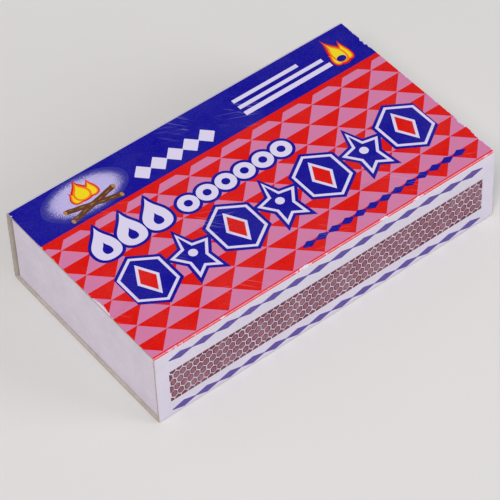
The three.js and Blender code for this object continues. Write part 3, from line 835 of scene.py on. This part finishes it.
def bezier(start, first, second, end, count=14):
    points = []
    for i in range(count):
        t = i / count
        weights = ((1 - t) ** 3, 3 * t * (1 - t) ** 2, 3 * t * t * (1 - t), t ** 3)
        points.append(tuple(
            sum(w * p[axis] for w, p in zip(weights, (start, first, second, end))) for axis in (0, 1)
        ))
    return points


def flame(centre_x, foot, tip, width, lean):
    """A plain flame: a round foot that narrows to a tip, which may lean to one side."""
    tall = tip - foot

    def at(across, up):
        return (centre_x + across * width / 2, foot + up * tall)

    top = (centre_x + lean, tip)
    return (
        bezier(top, at(-0.2, 0.65), at(-1, 0.6), at(-1, 0.32))
        + bezier(at(-1, 0.32), at(-1, 0.08), at(-0.55, 0), at(0, 0))
        + bezier(at(0, 0), at(0.55, 0), at(1, 0.08), at(1, 0.32))
        + bezier(at(1, 0.32), at(1, 0.6), (top[0], foot + 0.7 * tall), top)
    )


def grown(points, distance):
    """An outline moved outwards by a distance, or inwards where it is below nought."""
    area = sum(a[0] * b[1] - b[0] * a[1] for a, b in zip(points, points[1:] + points[:1]))
    side = distance if area > 0 else -distance
    moved = []
    for before, here, after in zip(points[-1:] + points[:-1], points, points[1:] + points[:1]):
        way_in = (Vector(here) - Vector(before)).normalized()
        way_out = (Vector(after) - Vector(here)).normalized()
        first = Vector((way_in.y, -way_in.x))
        second = Vector((way_out.y, -way_out.x))
        mitre = first + second
        reach = side / max(0.35, mitre.length_squared / 2)
        moved.append(tuple(Vector(here) + mitre * reach))
    return moved


def lozenge_string(count, left, right, low, high, link):
    spacing = (right - left) / count
    middle = (low + high) / 2
    upper = []
    for i in range(count):
        upper += [(left + i * spacing, middle + link / 2), (left + (i + 0.5) * spacing, high)]
    upper.append((right, middle + link / 2))
    lower = [(x, 2 * middle - y) for x, y in upper]
    return list(reversed(upper)) + lower


# Pieces of the sleeve

def build_sleeve():
    settings = bpy.context.scene.matchbox_sleeve
    board = settings.board
    half = board / 2
    lap = HALF_WIDTH - 1.5 * board - settings.glue_line
    corners = [
        (lap, HEIGHT - settings.lap_short_of_top),
        (lap, half),
        (half - HALF_WIDTH, half),
        (half - HALF_WIDTH, HEIGHT - half),
        (HALF_WIDTH - half, HEIGHT - half),
        (HALF_WIDTH - half, settings.cut_edge_height),
    ]
    stations = strip_stations(corners, settings.fold - half, settings.mesh_step)
    steps = sleeve_steps(settings.mesh_step)
    bm = bmesh.new()
    add_strip(bm, stations, lambda i: steps, board, lambda point, x: settle(Vector((x, point.x, point.y))))
    materials = [
        sleeve_face(),
        shared_material("sleeve_inside", board_material, tuple(settings.inside_colour), 0.85, 0.24, 0.03),
        shared_material("sleeve_cut_edge", cut_edge_material, tuple(settings.edge_colour)),
    ]
    finish_piece("folded_sleeve", bm, materials, "sleeve", ["sleeve"])


def build_fields():
    band = box_outline(*node_rectangle("print_blue_band"))
    ink_piece("blue_band", [[band]], "blue", 0, ["print_blue_band"])
    left, right, low, high = node_rectangle("print_red_field")
    low -= bpy.context.scene.matchbox_print.over_fold
    ink_piece("red_field", [[box_outline(left, right, low, high)]], "red", 0, ["print_red_field"])


def pink_rows():
    """Rows of pink triangles that point to the back, joined along their front edges and cut at the field."""
    settings = bpy.context.scene.matchbox_print
    left, right, low, high = node_rectangle("print_pink_triangles")
    pitch = (high - low - settings.first_row) / settings.row_count
    rows = []
    for row in range(settings.row_count + 1):
        foot = low + row * pitch
        start = left - settings.triangle_start - (settings.triangle_width / 2 if row % 2 else 0)
        tip = foot + min(settings.triangle_height, pitch - 0.06 * MM)
        saw = []
        x = start - settings.triangle_width
        while x < right + settings.triangle_width:
            saw += [(x, foot + settings.neck), (x + settings.triangle_width / 2, tip)]
            x += settings.triangle_width
        outline = [(saw[0][0], foot), (saw[-1][0], foot)] + list(reversed(saw))
        kept = clipped_to(outline, left, right, foot, min(tip, high))
        if kept:
            rows.append([kept])
    return rows


def build_pink_triangles():
    ink_piece("pink_triangles", pink_rows(), "pink", 1, ["print_pink_triangles"])


def build_fire_glow():
    settings = bpy.context.scene.matchbox_print
    left, right, low, high = node_rectangle("print_fire_glow")
    centre = ((left + right) / 2, (low + high) / 2)
    size = ((right - left) / 2, (high - low) / 2)
    inside, outside = tuple(settings.glow), tuple(settings.blue)
    material = glow_material("fire_glow", centre, *size, inside, outside, settings.wear)
    bm = bmesh.new()
    add_ink(bm, [[oval(*size, centre, 64)]], 1, top_place)
    finish_piece("fire_glow", bm, [material], "sleeve", ["print_fire_glow"])


def build_fire_logs():
    """Prints two crossed logs, each with an uneven bark, pale cut ends and a few pale bark lines."""
    settings = bpy.context.scene.matchbox_print
    left, right, low, high = node_rectangle("print_fire_logs")
    middle = Vector(((left + right) / 2, (low + high) / 2))
    half_length = settings.log_length / 2
    half_width = settings.log_width / 2
    edge_steps = 12
    bark_lines = 5
    bars, ends, barks = [], [], []
    for turn, level in ((settings.log_turn, 2.0), (-settings.log_turn, 2.35)):
        rotation = Matrix.Rotation(turn, 2)

        def at(x, y):
            return tuple(middle + rotation @ Vector((x, y)))

        rough = Random(settings.seed)
        upper = [
            (half_length * (1 - 2 * i / edge_steps), half_width * (1 - 0.16 * rough.random()))
            for i in range(edge_steps + 1)
        ]
        lower = [(-x, -y * (1 - 0.1 * rough.random())) for x, y in upper]
        bars.append(([at(x, y) for x, y in upper + lower], level))
        for x in (half_length, -half_length):
            ends.append((oval(half_width * 0.55, half_width * 0.8, at(x, 0), 18), level + 0.5))
        for line in range(bark_lines):
            x = half_length * (-0.9 + 1.8 * line / bark_lines)
            y = half_width * (-0.45 + 0.9 * rough.random())
            size = half_length * (0.16 + 0.12 * rough.random())
            half_line = half_width * 0.12
            corners = ((x, y), (x + size / 2, y - half_line), (x + size, y), (x + size / 2, y + half_line))
            barks.append(([at(*corner) for corner in corners], level + 0.5))
    for name, plates, colour_name, nodes in (
        ("fire_logs", bars, "brown", ["print_fire_logs"]),
        ("fire_log_ends", ends, "straw", []),
        ("fire_log_bark", barks, "straw", []),
    ):
        bm = bmesh.new()
        for outline, level in plates:
            add_ink(bm, [[outline]], level, top_place)
        finish_piece(name, bm, [ink(colour_name)], "sleeve", nodes)


def build_fire_flame():
    left, right, low, high = node_rectangle("print_fire_flame")
    x, size, tall = (left + right) / 2, right - left, high - low
    tongues = [
        flame(x - size * 0.04, low, high, size * 0.66, size * 0.06),
        flame(x - size * 0.26, low + tall * 0.02, low + tall * 0.68, size * 0.42, -size * 0.12),
        flame(x + size * 0.26, low + tall * 0.02, low + tall * 0.78, size * 0.42, size * 0.1),
    ]
    build_flame("fire", tongues, [3.5, 3.2, 2.9], ["print_fire_flame", "print_fire_heart"])


def build_flame(name, tongues, levels, nodes):
    """Paints tongues of flame in three steps, from the red of their edges to a yellow heart."""
    for shade, slot_name, amount, lift, replaced in (
        ("red", "red_ink", 0.0, 0.0, nodes[:1]),
        ("orange", "red_ink", 0.13, 1.1, []),
        ("yellow", "yellow_ink", 0.27, 1.2, nodes[1:]),
    ):
        bm = bmesh.new()
        for tongue, level in zip(tongues, levels):
            xs, ys = zip(*tongue)
            centre, foot = (min(xs) + max(xs)) / 2, min(ys)
            raised_foot = foot + (max(ys) - foot) * 0.4 * amount
            outline = [
                (centre + (x - centre) * (1 - 1.5 * amount), raised_foot + (y - foot) * (1 - 1.25 * amount))
                for x, y in tongue
            ]
            add_ink(bm, [[outline]], level + lift, top_place)
        finish_piece(f"{name}_{shade}", bm, [ink(shade)], "sleeve", replaced)


def build_match_picture():
    settings = bpy.context.scene.matchbox_print
    left, right, low, high = node_rectangle("print_match_stick")
    ink_piece("match_stick", [[box_outline(left, right, low, high)]], "white", 1, ["print_match_stick"])
    left, right, low, high = node_rectangle("print_match_flame")
    x, size, tall = (left + right) / 2, right - left, high - low
    tongues = [
        flame(x - size * 0.02, low, high, size * 0.7, -size * 0.12),
        flame(x - size * 0.24, low + tall * 0.04, low + tall * 0.56, size * 0.46, -size * 0.2),
        flame(x + size * 0.24, low + tall * 0.04, low + tall * 0.7, size * 0.46, size * 0.14),
    ]
    build_flame("match", tongues, [2.6, 2.3, 2.0], ["print_match_flame", "print_match_heart"])
    head_centre = (x - size * 0.06, low + tall * 0.2)
    head = oval(settings.printed_head * 1.25, settings.printed_head, head_centre, 28)
    ink_piece("match_head_print", [[head]], "blue", 4.6, [])


def build_lozenges_and_bars():
    settings = bpy.context.scene.matchbox_print
    rectangle = node_rectangle("print_white_lozenges")
    lozenges = lozenge_string(settings.white_lozenges, *rectangle, settings.string_link)
    ink_piece("white_lozenges", [[lozenges]], "white", 1, ["print_white_lozenges"])
    for number in range(1, WHITE_BAR_COUNT + 1):
        node = f"print_white_bar_{number}"
        ink_piece(f"white_bar_{number}", [[box_outline(*node_rectangle(node))]], "white", 1, [node])


def build_beads():
    settings = bpy.context.scene.matchbox_print
    left, right, low, high = node_rectangle("print_white_beads")
    half_height = (high - low) / 2
    spacing = (right - left) / settings.bead_count
    half_width = spacing / 2 - 0.1 * MM
    for name, more, colour_name, lift, nodes in (
        ("bead_outline", settings.outline, "blue", 2.0, []),
        ("white_beads", 0.0, "white", 3.1, ["print_white_beads"]),
        ("bead_centres", -half_height * 0.6, "blue", 4.5, []),
    ):
        bm = bmesh.new()
        for i in range(settings.bead_count):
            centre = (left + spacing * (i + 0.5), (low + high) / 2)
            bead = oval(half_width + more, half_height + more, centre)
            add_ink(bm, [[bead]], lift + NEIGHBOUR_LIFT * (i % 2), top_place)
        finish_piece(name, bm, [ink(colour_name)], "sleeve", nodes)


def build_white_flame(number):
    settings = bpy.context.scene.matchbox_print
    node = f"print_white_flame_{number}"
    left, right, low, high = node_rectangle(node)
    x, size, tall = (left + right) / 2, right - left, high - low
    shape = flame(x, low, high, size, 0.2 * size)
    core = flame(x, low + 0.16 * tall, low + 0.52 * tall, 0.34 * size, 0.07 * size)
    lift = NEIGHBOUR_LIFT * (number % 2)
    ink_piece(f"flame_outline_{number}", [[grown(shape, settings.outline)]], "blue", 2.0 + lift, [])
    ink_piece(f"white_flame_{number}", [[shape]], "white", 3.3 + lift, [node])
    ink_piece(f"flame_core_{number}", [[core]], "blue", 4.9, [])


def build_tiles():
    """Prints hexagons and stars by turns. A hexagon has a lozenge cut out of it, and a star has a dot."""
    settings = bpy.context.scene.matchbox_print
    left, right, low, high = node_rectangle("print_tile_row")
    spacing = (right - left) / TILE_COUNT
    size = (spacing / 2 + settings.tile_overlap, (high - low) / 2)
    centres = [(left + spacing * (i + 0.5), (low + high) / 2) for i in range(TILE_COUNT)]
    tiles = [(star if i % 2 else hexagon)(*size, centre) for i, centre in enumerate(centres)]
    bm = bmesh.new()
    for i, tile in enumerate(tiles):
        outline = clipped_to(tile, left, right, low, high)
        add_ink(bm, [[outline]], 2.0 + NEIGHBOUR_LIFT * (i % 2), top_place)
    finish_piece("tile_row", bm, [ink("blue")], "sleeve", ["print_tile_row"])
    for i, (tile, centre) in enumerate(zip(tiles, centres)):
        outer = grown(tile, -settings.outline)
        rings = [[outer, grown(outer, -settings.tile_line)]]
        if i % 2:
            rings.append([oval(spacing * 0.09, spacing * 0.09, centre, 24)])
        else:
            eye = lozenge(settings.tile_eye_width / 2, settings.tile_eye_height / 2, centre)
            rings.append([grown(eye, settings.tile_line), eye])
            inside = grown(eye, -0.02 * MM)
            ink_piece(f"tile_eye_{i + 1}", [[inside]], "red", 3.4, [])
        ink_piece(f"tile_line_{i + 1}", rings, "white", 3.4, [f"print_tile_line_{i + 1}"])


def build_edge_string():
    settings = bpy.context.scene.matchbox_print
    rectangle = node_rectangle("print_edge_string")
    outline = lozenge_string(settings.edge_lozenges, *rectangle, settings.string_link)
    ink_piece("edge_string", [[outline]], "blue", 2, ["print_edge_string"])


def build_side_borders():
    settings = bpy.context.scene.matchbox_print
    for face_name, side in (("front", -1), ("back", 1)):
        for part_name in ("upper", "lower"):
            node = f"print_{face_name}_{part_name}"
            low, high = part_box(node)
            rectangle = (low.x, high.x, low.z, high.z)
            outline = lozenge_string(settings.side_lozenges, *rectangle, settings.string_link)
            ink_piece(f"border_{face_name}_{part_name}", [[outline]], "violet", 0, [node], side_place(side))


def add_dot(bm, outline, rim, rise, middle_rise, place):
    """Adds a raised dot with a thick rim and a lower middle. A dot that the coat's edge cuts is all rim."""
    def ring(points, height):
        return [bm.verts.new(place(Vector(point), height)) for point in points]

    base, top = ring(outline, 0), ring(outline, rise)
    bridge(bm, base, top)
    add_face(bm, base[::-1])
    if len(outline) != 6:
        add_face(bm, top)
        return
    inner = grown(outline, -rim)
    ridge, floor = ring(inner, rise), ring(grown(inner, -0.35 * rim), middle_rise)
    bridge(bm, top, ridge)
    bridge(bm, ridge, floor, 1)
    add_face(bm, floor, 1)


def build_striker(face_name, side):
    settings = bpy.context.scene.matchbox_striker
    node = f"striker_{face_name}"
    low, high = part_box(node)
    middle = (low + high) / 2
    rng = Random(settings.seed if side < 0 else settings.seed + 1)
    columns = math.ceil((high.x - low.x) / settings.dot_pitch / 2) + 1
    rows = round((high.z - low.z) / settings.row_pitch)
    bm = bmesh.new()
    for row in range(-1, rows + 2):
        z = middle.z + (row - rows / 2) * settings.row_pitch
        for column in range(-columns, columns + 1):
            x = middle.x + (column + (0.5 if row % 2 else 0)) * settings.dot_pitch
            half_size = (1 + rng.uniform(-0.035, 0.03)) / 2
            centre = (x + rng.uniform(-0.05, 0.05) * MM, z + rng.uniform(-0.05, 0.05) * MM)
            dot = hexagon(settings.dot_width * half_size, settings.dot_height * half_size, centre)
            dot = clipped_to(dot, low.x, high.x, low.z, high.z)
            rise = settings.coat * rng.uniform(0.72, 1)
            if dot:
                add_dot(bm, dot, settings.rim, rise, rise * rng.uniform(0.45, 0.7), side_place(side))
    materials = [
        shared_material("striker_rim", coat_material, tuple(settings.rim_colour)),
        shared_material("striker_middle", coat_material, tuple(settings.middle_colour)),
    ]
    finish_piece(f"striking_dots_{face_name}", bm, materials, "sleeve", [node])


# The tray and its matches

def add_tray_walls(bm, low, high):
    """Adds the long walls and the floor between them. The walls bow in at the top, most in the middle."""
    settings = bpy.context.scene.matchbox_tray
    step = bpy.context.scene.matchbox_sleeve.mesh_step
    half = settings.board / 2
    inset = settings.board + settings.gap
    corners = [
        (high.y - half, high.z),
        (high.y - half, low.z + half),
        (low.y + half, low.z + half),
        (low.y + half, high.z),
    ]
    stations = strip_stations(corners, settings.fold - half, step)
    steps = even_steps(low.x + inset, high.x - inset, step)

    def place(point, x):
        up = max(0, (point.y - low.z) / (high.z - low.z))
        bow = settings.wall_bow * up * up * (1 - (x / (high.x - inset)) ** 2)
        y = point.x - math.copysign(bow, point.x) if abs(point.x) > 0.8 * high.y else point.x
        return Vector((x, y, point.y))

    add_strip(bm, stations, lambda i: steps, settings.board, place)


def add_tray_end(bm, low, high, sign):
    """Adds an end wall, with the fold and the lip that join it to the floor. It leans in at its top."""
    settings = bpy.context.scene.matchbox_tray
    step = bpy.context.scene.matchbox_sleeve.mesh_step
    half = settings.board / 2
    inset = settings.board + settings.gap
    outer = high.x - half
    lip = settings.fold + 0.2 * MM
    corners = [(outer, high.z), (outer, low.z + half), (outer - lip, low.z + half)]
    stations = strip_stations(corners, settings.fold - half, step)
    steps = even_steps(low.y + inset, high.y - inset, step)

    def place(point, y):
        up = (point.y - low.z) / (high.z - low.z)
        lean = settings.end_lean * up * up * (1 - (y / high.y) ** 2)
        return Vector((sign * (point.x - lean), y, point.y))

    add_strip(bm, stations, lambda i: steps, settings.board, place)


def add_corner_tab(bm, low, high, sign, side):
    """Adds a glued tab, which lies inside an end wall and whose top edge drops away from the corner."""
    settings = bpy.context.scene.matchbox_tray
    wall = high.y if side > 0 else -low.y
    first = wall - settings.board - settings.gap
    x = high.x - 1.5 * settings.board - settings.gap - settings.end_lean
    corners = [(x, first), (x, first - settings.tab_length)]
    stations = strip_stations(corners, 0, 2.5 * MM)
    last = len(stations) - 1
    foot = low.z + settings.fold
    tallest = high.z - settings.tab_drop
    count = len(even_steps(foot, tallest, 6 * MM)) - 1

    def heights(i):
        top = tallest - settings.tab_slope * i / last
        return [foot + (top - foot) * k / count for k in range(count + 1)]

    def place(point, z):
        return Vector((sign * point.x, side * point.y, z))

    add_strip(bm, stations, heights, settings.board, place)


def build_tray():
    settings = bpy.context.scene.matchbox_tray
    low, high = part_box("tray")
    bm = bmesh.new()
    add_tray_walls(bm, low, high)
    for sign in (1, -1):
        add_tray_end(bm, low, high, sign)
        for side in (-1, 1):
            add_corner_tab(bm, low, high, sign, side)
    materials = [
        shared_material("tray_outside", board_material, tuple(settings.face_colour), 0.78, 0.16, 0.022),
        shared_material("tray_inside", board_material, tuple(settings.inside_colour), 0.88, 0.22, 0.03),
        shared_material("tray_cut_edge", cut_edge_material, tuple(settings.edge_colour)),
    ]
    finish_piece("folded_tray", bm, materials, "tray", ["tray"])


def splint_section(size, edge):
    """The worn square of a splint, in the plane across it."""
    half = size / 2
    inner = half - edge
    return [
        (half, -inner), (half, inner), (inner, half), (-inner, half),
        (-half, inner), (-half, -inner), (-inner, -half), (inner, -half),
    ]


def head_reach(along, thin):
    """How wide a dipped head is, as a share of its widest: round at its tip, thinning on the splint."""
    round_tip = math.sqrt(1 - (1 - min(along / 0.34, 1)) ** 2)
    thinning = max(0, (along - 0.45) / 0.55) ** 2
    return round_tip * (1 - (1 - thin) * thinning)


def add_splint(bm, place, half_long, size, rng, detail, bow):
    """Adds a slightly bowed splint, cut a little askew at its bare end, with its own end grain."""
    settings = bpy.context.scene.matchbox_matches
    section = splint_section(size, settings.splint_edge * rng.uniform(0.7, 1.4))
    start = -half_long + settings.head_length * 0.3
    rings = []
    for i in range(detail + 1):
        part = i / detail
        y = start + (half_long - start) * part
        swell = bow * (1 - (2 * part - 1) ** 2)
        slant = rng.uniform(-0.09, 0.09) * MM if i == detail else 0
        points = [(x + swell, y + slant * math.copysign(1, x), z) for x, z in section]
        rings.append([bm.verts.new(place @ Vector(point)) for point in points])
    for ring, after in zip(rings, rings[1:]):
        bridge(bm, ring, after)
    add_face(bm, rings[-1], 1)
    add_face(bm, rings[0][::-1])


def add_head(bm, place, half_long, size, head_width, rng):
    """Adds a dipped head: lumpy, a little square, and running thin along the splint."""
    settings = bpy.context.scene.matchbox_matches
    sides = 12
    ring_steps = 9
    radius = head_width / 2
    lean = rng.uniform(-0.06, 0.06) * MM
    rings = []
    for step in range(ring_steps + 1):
        along = 0.02 + 0.98 * (step / ring_steps) ** 1.4
        across = head_reach(along, size / head_width)
        y = -half_long + along * settings.head_length
        ring = []
        for i in range(sides):
            angle = 2 * math.pi * i / sides
            square = 1 + 0.09 * abs(math.sin(2 * angle)) * along
            lump = 1 + rng.uniform(-0.035, 0.035)
            reach = min(radius, radius * across * square * lump)
            x = math.cos(angle) * reach + lean * (1 - along)
            z = math.sin(angle) * min(reach, settings.head_rise)
            ring.append(bm.verts.new(place @ Vector((x, y, z))))
        rings.append(ring)
    for ring, after in zip(rings, rings[1:]):
        bridge(bm, ring, after, 2)
    add_face(bm, rings[0][::-1], 2)
    add_face(bm, rings[-1], 2)


def add_match(bm, tip, tail, centre, turn, tilt, head_width, rng, detail):
    """Adds a match that lies along the width of the tray, with its head at the tip."""
    settings = bpy.context.scene.matchbox_matches
    place = Matrix.Translation((centre.x, (tip + tail) / 2, centre.z)) @ Matrix.Rotation(turn, 4, "Z")
    place = place @ Matrix.Rotation(tilt, 4, "Y")
    half_long = (tail - tip) / 2
    bow = rng.uniform(-0.12, 0.12) * MM
    size = settings.splint * rng.uniform(0.965, 1.01)
    add_splint(bm, place, half_long, size, rng, detail, bow)
    add_head(bm, place, half_long, size, head_width, rng)


def match_materials():
    settings = bpy.context.scene.matchbox_matches
    light, dark = tuple(settings.wood_light), tuple(settings.wood_dark)
    end_light, end_dark = tuple(settings.end_light), tuple(settings.end_dark)
    paste, spots = tuple(settings.head_colour), tuple(settings.head_dark)
    return [
        shared_material("splint_wood", wood_material, light, dark),
        shared_material("splint_end_grain", wood_material, end_light, end_dark, end_grain=True),
        shared_material("match_head_paste", head_material, paste, spots),
    ]


def build_match_row(number):
    settings = bpy.context.scene.matchbox_matches
    node = f"match_row_{number}"
    low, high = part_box(node)
    middle = (low + high) / 2
    rng = Random(settings.seed * 100 + number)
    count = round((high.x - low.x - settings.row_head) / settings.row_pitch) + 1
    detail = 6 if number == ROW_COUNT else 3
    bm = bmesh.new()
    for i in range(count):
        x = middle.x + (i - (count - 1) / 2) * settings.row_pitch
        shift = rng.uniform(-0.28, 0.28) * MM
        centre = Vector((x, 0, middle.z + rng.uniform(-0.05, 0.05) * MM))
        turn = math.radians(rng.uniform(-0.2, 0.2))
        tilt = math.radians(rng.uniform(-9, 9))
        add_match(bm, low.y + shift, high.y + shift, centre, turn, tilt, settings.row_head, rng, detail)
    finish_piece(f"matches_row_{number}", bm, match_materials(), "tray", [node], MATCH_CREASE)


def build_loose_match(number):
    settings = bpy.context.scene.matchbox_matches
    node = f"match_{number:02d}"
    low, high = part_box(node)
    rng = Random(settings.seed * 1000 + number)
    turn = settings.loose_turn * math.sin(2.3 * number)
    tilt = math.radians(rng.uniform(-14, 14))
    bm = bmesh.new()
    add_match(bm, low.y, high.y, (low + high) / 2, turn, tilt, settings.head, rng, 8)
    finish_piece(f"loose_{node}", bm, match_materials(), "tray", [node], MATCH_CREASE)


# The stage

def floor_material(name, floor):
    material, tree, shader = new_material(name)
    place = object_place(tree)
    cloud = speckle(tree, place, 6, 3, 0.5)
    base = blend_colours(tree, spread(tree, cloud, 0.3, 0.7), tuple(v * 0.97 for v in floor), floor)
    relief = bump(tree, speckle(tree, place, 700, 2), 0.02 * MM)
    feed(tree, shader, Base_Color=base, Roughness=0.85, Normal=relief)
    return material


def build_floor():
    settings = bpy.context.scene.matchbox_stage
    bm = bmesh.new()
    bmesh.ops.create_grid(bm, x_segments=2, y_segments=2, size=settings.floor_size)
    mesh = bpy.data.meshes.new("studio_floor")
    bm.to_mesh(mesh)
    bm.free()
    mesh.materials.append(floor_material("studio_floor", tuple(settings.floor_colour)))
    floor = bpy.data.objects.new("studio_floor", mesh)
    floor.location.z = -0.02 * MM
    bpy.context.scene.collection.objects.link(floor)


def add_lamp(name, place, size, watts, warmth):
    data = bpy.data.lights.new(name, "AREA")
    data.shape = "DISK"
    data.size = size
    data.energy = watts
    data.color = warmth
    lamp = bpy.data.objects.new(name, data)
    lamp.location = place
    lamp.rotation_euler = (-Vector(place)).to_track_quat("-Z", "Y").to_euler()
    bpy.context.scene.collection.objects.link(lamp)


def build_lamps():
    settings = bpy.context.scene.matchbox_stage
    add_lamp("key_lamp", (-1.02, -0.9, 1.86), 0.9, settings.key_power, (1, 0.985, 0.96))
    add_lamp("fill_lamp", (1.35, -1.65, 0.9), 1.3, settings.fill_power, (0.95, 0.975, 1))
    world = bpy.data.worlds.new("studio_surroundings")
    world.use_nodes = True
    background = world.node_tree.nodes["Background"]
    background.inputs["Color"].default_value = (1, 1, 1, 1)
    background.inputs["Strength"].default_value = settings.world
    bpy.context.scene.world = world


def build_camera():
    settings = bpy.context.scene.matchbox_stage
    data = bpy.data.cameras.new("photo_camera")
    data.lens = settings.lens
    data.sensor_width = 36
    data.sensor_fit = "HORIZONTAL"
    data.clip_start = 0.01
    turn = Euler((math.pi / 2 - settings.elevation, 0, settings.azimuth)).to_matrix()
    turn = turn @ Matrix.Rotation(settings.roll, 3, "Z")
    camera = bpy.data.objects.new("photo_camera", data)
    camera.location = Vector(settings.aim) + turn.col[2] * settings.distance
    camera.rotation_euler = turn.to_euler()
    bpy.context.scene.collection.objects.link(camera)
    bpy.context.scene.camera = camera
    bpy.context.scene.view_settings.view_transform = "Standard"


# Operators, panel and running order

class MATCHBOX_OT_sleeve(bpy.types.Operator):
    """Folds the sleeve out of one sheet of board"""

    bl_idname = "matchbox.sleeve"
    bl_label = "Sleeve"

    def execute(self, context):
        build_sleeve()
        return {"FINISHED"}


class MATCHBOX_OT_fields(bpy.types.Operator):
    """Prints the blue band, the red field and its pink triangles"""

    bl_idname = "matchbox.fields"
    bl_label = "Band and field"

    def execute(self, context):
        build_fields()
        build_pink_triangles()
        return {"FINISHED"}


class MATCHBOX_OT_band_print(bpy.types.Operator):
    """Prints the camp fire and the burning match on the band"""

    bl_idname = "matchbox.band_print"
    bl_label = "Band motifs"

    def execute(self, context):
        build_fire_glow()
        build_fire_logs()
        build_fire_flame()
        build_match_picture()
        return {"FINISHED"}


class MATCHBOX_OT_white_print(bpy.types.Operator):
    """Prints the white lozenges, bars, beads and flames"""

    bl_idname = "matchbox.white_print"
    bl_label = "White motifs"

    def execute(self, context):
        build_lozenges_and_bars()
        build_beads()
        for number in range(1, WHITE_FLAME_COUNT + 1):
            build_white_flame(number)
        return {"FINISHED"}


class MATCHBOX_OT_tiles(bpy.types.Operator):
    """Prints the row of blue tiles and the string of small lozenges under it"""

    bl_idname = "matchbox.tiles"
    bl_label = "Blue tiles"

    def execute(self, context):
        build_tiles()
        build_edge_string()
        return {"FINISHED"}


class MATCHBOX_OT_sides(bpy.types.Operator):
    """Prints the violet borders and the striking dots on the long sides"""

    bl_idname = "matchbox.sides"
    bl_label = "Sides"

    def execute(self, context):
        build_side_borders()
        build_striker("front", -1)
        build_striker("back", 1)
        return {"FINISHED"}


class MATCHBOX_OT_tray(bpy.types.Operator):
    """Folds the tray that slides in the sleeve"""

    bl_idname = "matchbox.tray"
    bl_label = "Tray"

    def execute(self, context):
        build_tray()
        return {"FINISHED"}


class MATCHBOX_OT_matches(bpy.types.Operator):
    """Lays the rows of matches and the loose ones in the tray"""

    bl_idname = "matchbox.matches"
    bl_label = "Matches"

    def execute(self, context):
        for number in range(1, ROW_COUNT + 1):
            build_match_row(number)
        for number in range(1, LOOSE_COUNT + 1):
            build_loose_match(number)
        return {"FINISHED"}


class MATCHBOX_OT_stage(bpy.types.Operator):
    """Lays the floor and sets up the lamps and the camera"""

    bl_idname = "matchbox.stage"
    bl_label = "Stage"

    def execute(self, context):
        build_floor()
        build_lamps()
        build_camera()
        return {"FINISHED"}


OPERATORS = (
    MATCHBOX_OT_sleeve,
    MATCHBOX_OT_fields,
    MATCHBOX_OT_band_print,
    MATCHBOX_OT_white_print,
    MATCHBOX_OT_tiles,
    MATCHBOX_OT_sides,
    MATCHBOX_OT_tray,
    MATCHBOX_OT_matches,
    MATCHBOX_OT_stage,
)


class MATCHBOX_PT_build(bpy.types.Panel):
    """Lists the matchbox's pieces, to build one by one, and their settings"""

    bl_idname = "MATCHBOX_PT_build"
    bl_label = "Matchbox"
    bl_space_type = "VIEW_3D"
    bl_region_type = "UI"
    bl_category = "Matchbox"

    def draw(self, context):
        for operator in OPERATORS:
            self.layout.operator(operator.bl_idname)
        for name, group in SETTINGS.items():
            box = self.layout.box()
            box.label(text=name.removeprefix("matchbox_").capitalize())
            for key in group.__annotations__:
                box.prop(getattr(context.scene, name), key)


CLASSES = (*SETTINGS.values(), *OPERATORS, MATCHBOX_PT_build)


def register():
    for cls in CLASSES:
        bpy.utils.register_class(cls)
    for name, group in SETTINGS.items():
        setattr(bpy.types.Scene, name, PointerProperty(type=group))


def unregister():
    for name in SETTINGS:
        delattr(bpy.types.Scene, name)
    for cls in reversed(CLASSES):
        bpy.utils.unregister_class(cls)


def main():
    register()
    bpy.ops.matchbox.sleeve()
    bpy.ops.matchbox.fields()
    bpy.ops.matchbox.band_print()
    bpy.ops.matchbox.white_print()
    bpy.ops.matchbox.tiles()
    bpy.ops.matchbox.sides()
    bpy.ops.matchbox.tray()
    bpy.ops.matchbox.matches()
    bpy.ops.matchbox.stage()


if __name__ == "__main__":
    main()
